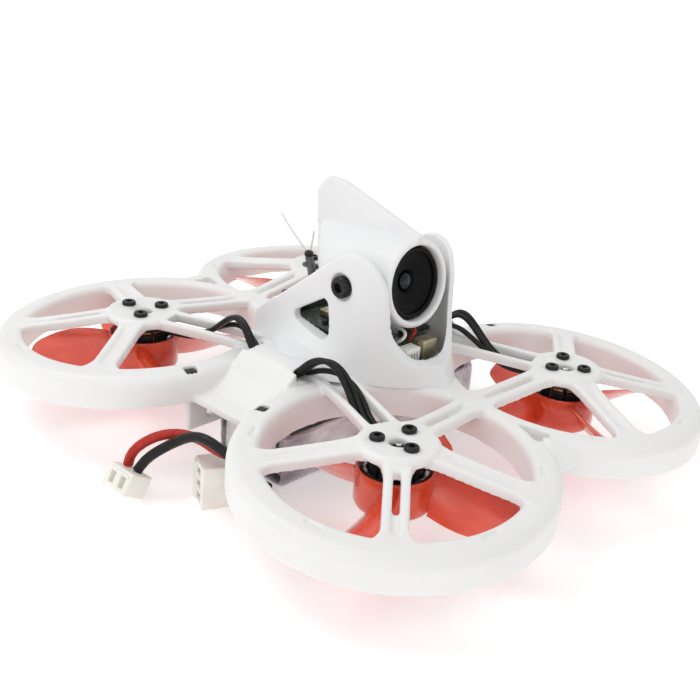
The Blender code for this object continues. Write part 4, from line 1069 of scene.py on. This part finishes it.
def make_canopy():
    """Foot that flows up into the ears and nose, with a U cut under the camera."""
    foot = loft([diamond(1.06, 0.9), diamond(1.055, 2.0), diamond(1.02, 3.0), diamond(0.93, 3.7),
                 diamond(0.8, 4.2), diamond(0.6, 4.5, 3.0)], "foot")
    wall = prism(canopy_plan(EAR_OUTER_X, EAR_OUTER_X, 16.0), 2.4, 27.0)
    side_view = rounded([(-20.5, 2.0, 0), (-20.5, 4.7, 0), (-17.6, 4.8, 2.2), (-14.9, 9.5, 8),
                         (-14.1, 17.2, 6), (-10.2, 25.2, 5.2), (9.2, 9.4, 5), (14.2, 5.4, 2),
                         (14.6, 2.0, 0)], 12)
    combine(wall, prism(side_view, -12, 12, "X"), "INTERSECT")
    flare = make_canopy_flare()
    inside = prism(canopy_plan(EAR_INNER_X, NOSE_INNER_R, 18.0), -2, 30)
    parts = [foot, wall, flare]
    hollow = loft([diamond(1.0, -0.5, 2.5), diamond(0.998, 2.8, 2.5), diamond(0.86, 3.2, 2.5),
                   diamond(0.66, 3.6, 2.5)], "foot_hollow")
    cut(foot, copied(hollow, "foot_hollow"))
    cut(flare, hollow)
    window = rounded([(6.2, 7.3, 1.0), (-3.0, 13.3, 1.0), (-4.3, 5.5, 1.0)], 8)
    for part in parts:
        cut(part, copied(inside, "inside"), cylinder(0.9, 0, 9, 24, (0, CANOPY_SCREW_Y)))
        cut(part, cylinder(1.9, 4.5, 9, 32, (0, CANOPY_SCREW_Y)), prism(window, -14, 14, "X"))
    bpy.data.objects.remove(inside)
    cut(wall, rotated(cylinder(1.1, -12, 12, 24), ACROSS_PIVOT))
    for side in (-1, 1):
        cut(wall, rotated(cylinder(2.3, side * 9.9, side * 12, 40), ACROSS_PIVOT))
    parts.append(make_canopy_roof())
    skin = moulded("canopy_shell", parts, voxel=0.2, smoothing=5, keep=0.45)
    place(skin, "frame", "canopy", ["canopy"], None)
    screw = button_screw(head_r=1.15, head_height=0.9, shank_r=0.55, shank_length=1.5, socket_r=0.5)
    rotated(screw, Matrix.Translation((0, CANOPY_SCREW_Y, 4.55)))
    screw.name = "canopy_button_screw"
    place(screw, "frame", "screw", ["canopy_screw"], 30)


def make_canopy_flare():
    """Concave skirt that spreads from the U plan above to the diamond foot below."""
    top, fall, steps, softness = 9.0, 8.1, 14, 1.25
    half_width, back, straight = EAR_OUTER_X + 0.05, 14.3, 22.8
    plan = canopy_plan(half_width, half_width, back)
    sides = [(half_width, back - straight * step / 16) for step in range(1, 16)]
    outline = plan[:1] + [(-x, y) for x, y in [(half_width, back)] + sides] + plan[2:]
    outline += list(reversed(sides))
    rings = []
    for step in range(steps + 1):
        share = 1 - step / steps
        ring = []
        for x, y in outline:
            span = (abs(x / 19.4) ** softness + abs(y / 23.0) ** softness) ** (-1 / softness)
            growth = 1 + (max(1.01, span) - 1) * share ** 2.2
            ring.append((x * growth, y * growth, top - fall * share))
        rings.append(ring)
    flare = loft(rings, "flare")
    side_view = rounded([(-26, 0, 0), (-26, 2.6, 0), (-20.5, 4.4, 2), (-17.6, 4.7, 2.2),
                         (-14.9, 9.5, 8), (-14.5, 12, 0), (6.6, 12, 0), (14.2, 5.4, 3),
                         (21.5, 3.2, 1), (24, 0, 0)], 8)
    return combine(flare, prism(side_view, -24, 24, "X"), "INTERSECT")


def make_canopy_roof():
    """Sloping plate between the ears at the back, notched for the antenna."""
    low = CANOPY_BASE
    outline = [(14.4, low), (14.0, 5.4), (9.3, 9.3), (8.5, 8.3), (12.8, 4.8), (13.2, low)]
    roof = prism(outline, -EAR_OUTER_X + 0.4, EAR_OUTER_X - 0.4, "X")
    return cut(roof, box((-0.95, 10.2, 6.5), (0.95, 13.6, 9.6)))


# Camera
def turned_along_lens(profile, segments, name):
    return rotated(turned(profile, segments, name), ALONG_LENS)


def shell_radius(depth):
    return SHELL_FRONT_R + (SHELL_REAR_R - SHELL_FRONT_R) * depth / SHELL_LENGTH


def shell_half_width(depth):
    """Half width of the shell, whose tail narrows to an upright edge."""
    share = max(0.0, (depth - TAIL_START) / (SHELL_LENGTH - TAIL_START))
    return shell_radius(depth) * max(0.09, 1 - share ** 1.5)


def squeezed_barrel(stations, name):
    """Barrel about the lens axis from (depth, radius, half width) stations."""
    profile = [(0, stations[0][0])] + [(radius, depth) for depth, radius, _ in stations]
    barrel = turned(profile + [(0, stations[-1][0])], 96, name)
    squeeze = {round(depth, 3): half_width / radius for depth, radius, half_width in stations}
    for vertex in barrel.data.vertices:
        vertex.co.x *= squeeze[round(vertex.co.z, 3)]
    return rotated(barrel, ALONG_LENS)


def make_camera_shell():
    """Barrel with a rolled front ring, a narrowing tail and a thin top fin."""
    lip_r = 0.9
    lip = arc(lip_r, SHELL_FRONT_R - lip_r, lip_r, math.pi, math.pi / 2, 6)
    outside = [(depth, radius, radius) for depth, radius in lip]
    tail_steps = 14
    depths = [4.0, 8.0] + [TAIL_START + (SHELL_LENGTH - TAIL_START) * step / tail_steps
                           for step in range(tail_steps + 1)]
    outside += [(depth, shell_radius(depth), shell_half_width(depth)) for depth in depths]
    inside = [(1.6, 6.45, 6.45)]
    inside += [(depth, shell_radius(depth) - SHELL_WALL, shell_half_width(depth) - SHELL_WALL)
               for depth in depths if shell_half_width(depth) > SHELL_WALL + 0.6]
    shell = squeezed_barrel(outside, "shell")
    cut(shell, squeezed_barrel(inside, "shell_cavity"))
    cut(shell, turned_along_lens([(0, -1.0), (6.7, -1.0), (6.7, 0.05), (6.4, 0.35), (6.4, 2.0),
                                  (0, 2.0)], 96, "lens_bore"))
    belly = prism([(-9.4, 7.0), (13.0, 14.6), (16.0, 2.0), (-9.0, 2.0)], -12, 12, "X")
    cut(shell, belly)
    slot = rounded([(1.9, -1.3, 0.5), (5.0, -1.3, 0.5), (5.0, 1.3, 0.5), (1.9, 1.3, 0.5)])
    cut(shell, rotated(prism(slot, -12, 12, "X"), CAMERA_SPACE))
    parts = [shell]
    for side in (-1, 1):
        parts.append(rotated(cylinder(2.6, side * 7.2, side * 8.7, 40), ACROSS_PIVOT))
    fin_outline = rounded([(-12.9, 23.6, 0), (-13.3, 24.9, 0), (-10.6, 25.5, 0), (-3.5, 27.5, 4),
                           (4.9, 29.7, 3), (8.6, 29.7, 1.5), (10.9, 26.8, 1), (10.4, 21.0, 0),
                           (5.0, 22.0, 0), (-5.0, 23.2, 0)])
    parts.append(prism(fin_outline, -0.65, 0.65, "X"))
    skin = moulded("camera_housing", parts, voxel=0.2, smoothing=3, keep=0.45)
    place(skin, "camera", "canopy", ["camera_shell"], None)


def make_camera():
    body = bevelled_box((-4.6, 5.4, -4.6), (4.6, 14.5, 4.6), 0.8, "camera_block")
    for height in (-2.4, 0.0, 2.4):
        cut(body, box((-3.4, 14.1, height - 0.4), (3.4, 15, height + 0.4)))
    place(rotated(body, CAMERA_SPACE), "camera", "lens_black", ["camera_body"])
    rings = [(0, 4.2), (1.75, 4.2), (1.75, 3.3), (1.95, 3.1), (2.2, 3.15), (2.3, 3.0)]
    for step in range(6):
        radius = 2.6 + 0.45 * step
        depth = 2.95 - 0.2 * step
        rings += [(radius, depth), (radius + 0.12, depth - 0.12)]
    rings += [(5.2, 1.75), (5.25, 1.3), (5.4, 1.1), (5.85, 1.0), (6.05, 1.2), (6.05, 5.1), (0, 5.1)]
    barrel = turned_along_lens(rings, 96, "lens_mount")
    place(barrel, "camera", "lens_black", ["lens_barrel"], 25)
    dome = [(0, 3.9), (1.6, 3.9), (1.6, 3.2)]
    for step in range(9):
        angle = math.pi / 2 * step / 8
        dome.append((1.55 * math.cos(angle), 3.1 - 0.55 * math.sin(angle)))
    glass = turned_along_lens(dome[:-1] + [(0, 2.55)], 48, "front_element")
    place(glass, "camera", "glass", ["lens_glass"])
    for name, side in (("camera_pivot_screw_right", -1), ("camera_pivot_screw_left", 1)):
        screw = button_screw(head_r=1.9, head_height=1.25, shank_r=0.8, shank_length=2.2,
                             socket_r=0.95)
        turn = (Matrix.Translation(PIVOT) @ Matrix.Rotation(side * math.pi / 2, 4, "Y")
                @ Matrix.Translation((0, 0, 10.05)))
        screw.name = "tilt_screw_right" if side < 0 else "tilt_screw_left"
        place(rotated(screw, turn), "camera", "screw", [name], 30)


# Battery
def make_battery():
    low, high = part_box("battery_sleeve")
    to_mm = Vector((0, 0, LIP_HEIGHT))
    low, high = low / MM - to_mm, high / MM - to_mm

    def within(start, side, bottom, end, top, bevel, name="box", segments=3):
        """Bevelled box by its gaps to the battery's bounds."""
        return bevelled_box((low.x + start, low.y + side, low.z + bottom),
                            (high.x - end, high.y - side, high.z - top), bevel, name, segments)

    sleeve = within(0.1, 0.15, 0.0, 0.1, 0.1, 1.9, "battery_wrap", 6)
    cut(sleeve, within(-3.9, 1.0, 0.85, 1.2, 0.95, 1.2))
    apply_modifiers(modify(sleeve, "REMESH", mode="VOXEL", voxel_size=0.32))
    for vertex in sleeve.data.vertices:
        spot = vertex.co
        if spot.z < low.z + 0.5:
            continue
        crinkle = noise.noise(Vector((spot.x * 0.22, spot.y * 0.35, spot.z * 0.4)))
        crease = abs(noise.noise(Vector((spot.x * 0.12 + 5, spot.y * 0.5, spot.z * 0.3))))
        inward = 0.28 * max(0.0, 0.5 - crease * 3) + 0.12 * (crinkle + 0.5)
        middle = Vector((spot.x, 0, (low.z + high.z) / 2))
        vertex.co = spot + (middle - spot).normalized() * inward
    place(sleeve, "battery", "film", ["battery_sleeve"], None)
    half = (high.z - low.z) / 2 + 0.05
    cells = [within(1.6, 1.15, 1.15, 1.4, half, 0.9), within(1.6, 1.15, half, 1.4, 1.15, 0.9)]
    # Dark rubber strips along the battery's top long edges are painted shadow: they stand where the gap
    # between the frame's underside and the battery falls into shade.
    for number, edge_y in enumerate((low.y + 0.62, high.y - 0.62)):
        route = [(low.x + 2.2 + 4.0 * step, edge_y + 0.06 * (-1) ** step, high.z - 0.62)
                 for step in range(int((high.x - low.x - 4) / 4.0) + 1)]
        lay_wire(f"painted_shadow_strip_{number + 1}", route, 0.62, "battery", "rubber")
    tabs = within(0.4, 2.4, 2.4, high.x - low.x - 1.9, 2.4, 0.3)
    place(joined("pouch_cells", cells + [tabs]), "battery", "foil", ["battery_cells"])


def plug_housing(name, size, ways, pitch, along, rib):
    """Nylon wire housing: windows on the front, a latch rib, and a wire side."""
    half = Vector(size) / 2
    housing = bevelled_box(-half, half, 0.3, name)
    for way in range(ways):
        offset = (way - (ways - 1) / 2) * pitch
        if along == "Y":
            cut(housing, bevelled_box((-half.x - 1, offset - 0.62, -half.z + 0.8),
                                      (-half.x + 1.2, offset + 0.62, half.z - 0.9), 0.15))
            cut(housing, cylinder(0.72, half.z - 1.3, half.z + 1, 24, (0.2, offset)))
        else:
            cut(housing, bevelled_box((-half.x - 1, -half.y + 1.3, offset - 0.7),
                                      (-half.x + 1.3, half.y - 1.2, offset + 0.7), 0.15))
    unite(housing, bevelled_box(*rib, 0.12))
    return bevel_edges(housing, 0.06, 2)


def make_battery_leads():
    lean = Matrix.Translation(POWER_PLUG_CENTRE) @ Matrix.Rotation(math.radians(28), 4, "Y")
    plug = plug_housing("two_pin_plug", (4.2, 5.9, 3.8), 2, 2.5, "Y",
                        ((-2.35, -2.4, 0.9), (-1.9, 2.4, 1.4)))
    place(rotated(plug, lean), "battery", "nylon", ["power_plug"])
    leads = (("battery_lead_red", "power_lead_red", RED_LEAD_ROUTE, "red_wire"),
             ("battery_lead_black", "power_lead_black", BLACK_LEAD_ROUTE, "black_wire"))
    for name, node, route, key in leads:
        lead, length = lay_wire(name, route, POWER_LEAD_R, "battery", key, [node], resolution=7)


def make_balance_plug():
    turn = Matrix.Translation(BALANCE_PLUG_CENTRE) @ Matrix.Rotation(math.radians(-25), 4, "Z")
    plug = plug_housing("balance_connector", (5.2, 5.0, 7.5), 3, 2.25, "Z",
                        ((-2.85, 0.9, -3.4), (-2.3, 2.3, 3.4)))
    place(rotated(plug, turn), "battery", "nylon", ["balance_plug"])
    clear = -LIP_HEIGHT + 0.1
    floor = clear + BALANCE_LEAD_R
    sleeve = bevelled_box((-26.1, -7.3, clear), (-24.3, -3.95, -15.3), 0.35, "balance_sleeve")
    place(sleeve, "battery", "rubber", ["balance_leads"])
    spots = ((-4.5, -30.4, -4.0, -10.9), (-5.6, -30.7, -5.0, -12.9), (-6.7, -31.1, -6.0, -14.9))
    for number, (start_y, end_x, end_y, height) in enumerate(spots):
        route = [(-25.2, start_y, floor), (-27.6, start_y, floor),
                 (-29.7, (start_y + end_y) / 2, floor + 0.1), (end_x + 0.4, end_y, floor + 0.9),
                 (end_x + 0.5, end_y, (floor + height) / 2), (end_x + 0.4, end_y, height - 0.5),
                 (end_x, end_y, height)]
        lay_wire(f"balance_lead_{number + 1}", route, BALANCE_LEAD_R, "battery",
                 "black_wire")


# Stage
def make_camera_view():
    data = bpy.data.cameras.new("view")
    data.lens = 57.2
    data.sensor_width = 36.0
    data.shift_x = -0.128
    data.shift_y = -0.016
    data.clip_start = 0.005
    camera = linked("view", data)
    right = Vector((0.643, -0.758, 0.108)).normalized()
    forward = Vector((0.73, 0.564, -0.387)).normalized()
    up = right.cross(forward)
    turn = Matrix((right, up, -forward)).transposed()
    location = in_metres((-134.5, -123.2, 80.1))
    camera.matrix_world = Matrix.Translation(location) @ turn.to_4x4()
    bpy.context.scene.camera = camera


def area_light(name, location, target, size, power):
    data = bpy.data.lights.new(name, "AREA")
    data.size = size
    data.energy = power
    light = linked(name, data)
    light.location = location
    direction = Vector(target) - Vector(location)
    light.rotation_euler = direction.to_track_quat("-Z", "Y").to_euler()


def make_stage():
    bm = bmesh.new()
    bmesh.ops.create_grid(bm, x_segments=2, y_segments=2, size=6.0)
    floor = to_object(bm, "floor")
    paper = principled("floor_paper", (0.93, 0.93, 0.93), 0.55, Emission_Color=(1, 1, 1, 1),
                       Emission_Strength=0.3)
    ramp(paper, object_noise(paper, 3, 2), [(0.3, (0.93, 0.93, 0.93)), (0.7, (0.95, 0.95, 0.95))],
         "Base Color")
    floor.data.materials.append(paper)
    world = bpy.data.worlds.new("studio")
    world.use_nodes = True
    background = world.node_tree.nodes["Background"]
    background.inputs["Color"].default_value = (1.0, 1.0, 1.0, 1.0)
    # The backdrop itself is white, and it lights the object a little less.
    seen, lighting = 1.03, 0.78
    rays = world.node_tree.nodes.new("ShaderNodeLightPath")
    strength = world.node_tree.nodes.new("ShaderNodeMath")
    strength.operation = "MULTIPLY_ADD"
    strength.inputs[1].default_value = seen - lighting
    strength.inputs[2].default_value = lighting
    world.node_tree.links.new(rays.outputs["Is Camera Ray"], strength.inputs[0])
    world.node_tree.links.new(strength.outputs[0], background.inputs["Strength"])
    bpy.context.scene.world = world
    bpy.context.scene.view_settings.view_transform = "Standard"
    area_light("key", (-0.20, 0.25, 0.50), (0, 0, 0.01), 0.30, 0.8)
    area_light("front", (-0.45, -0.25, 0.35), (0, 0, 0.01), 0.4, 0.35)


MOTOR_AXES = {corner: Vector(JOINTS[corner + "_motor_spin"]["pos_m"][:2] + [0.0]) / MM
              for corner in CORNERS}
MATS = make_materials()


def main():
    make_camera_view()
    make_battery_leads()
    make_balance_plug()
    make_battery()
    make_frame()
    make_band_pads()
    for corner in CORNERS:
        make_stator(corner)
        make_bell(corner)
        make_propeller(corner)
        make_mount_screws(corner)
        make_motor_leads(corner)
    make_flight_controller()
    make_video_transmitter()
    make_antenna()
    make_canopy()
    make_camera_shell()
    make_camera()
    gasket = frame["nodes"]["board_gasket"]
    gasket.data.materials.clear()
    gasket.data.materials.append(MATS["rubber"])
    make_stage()


main()
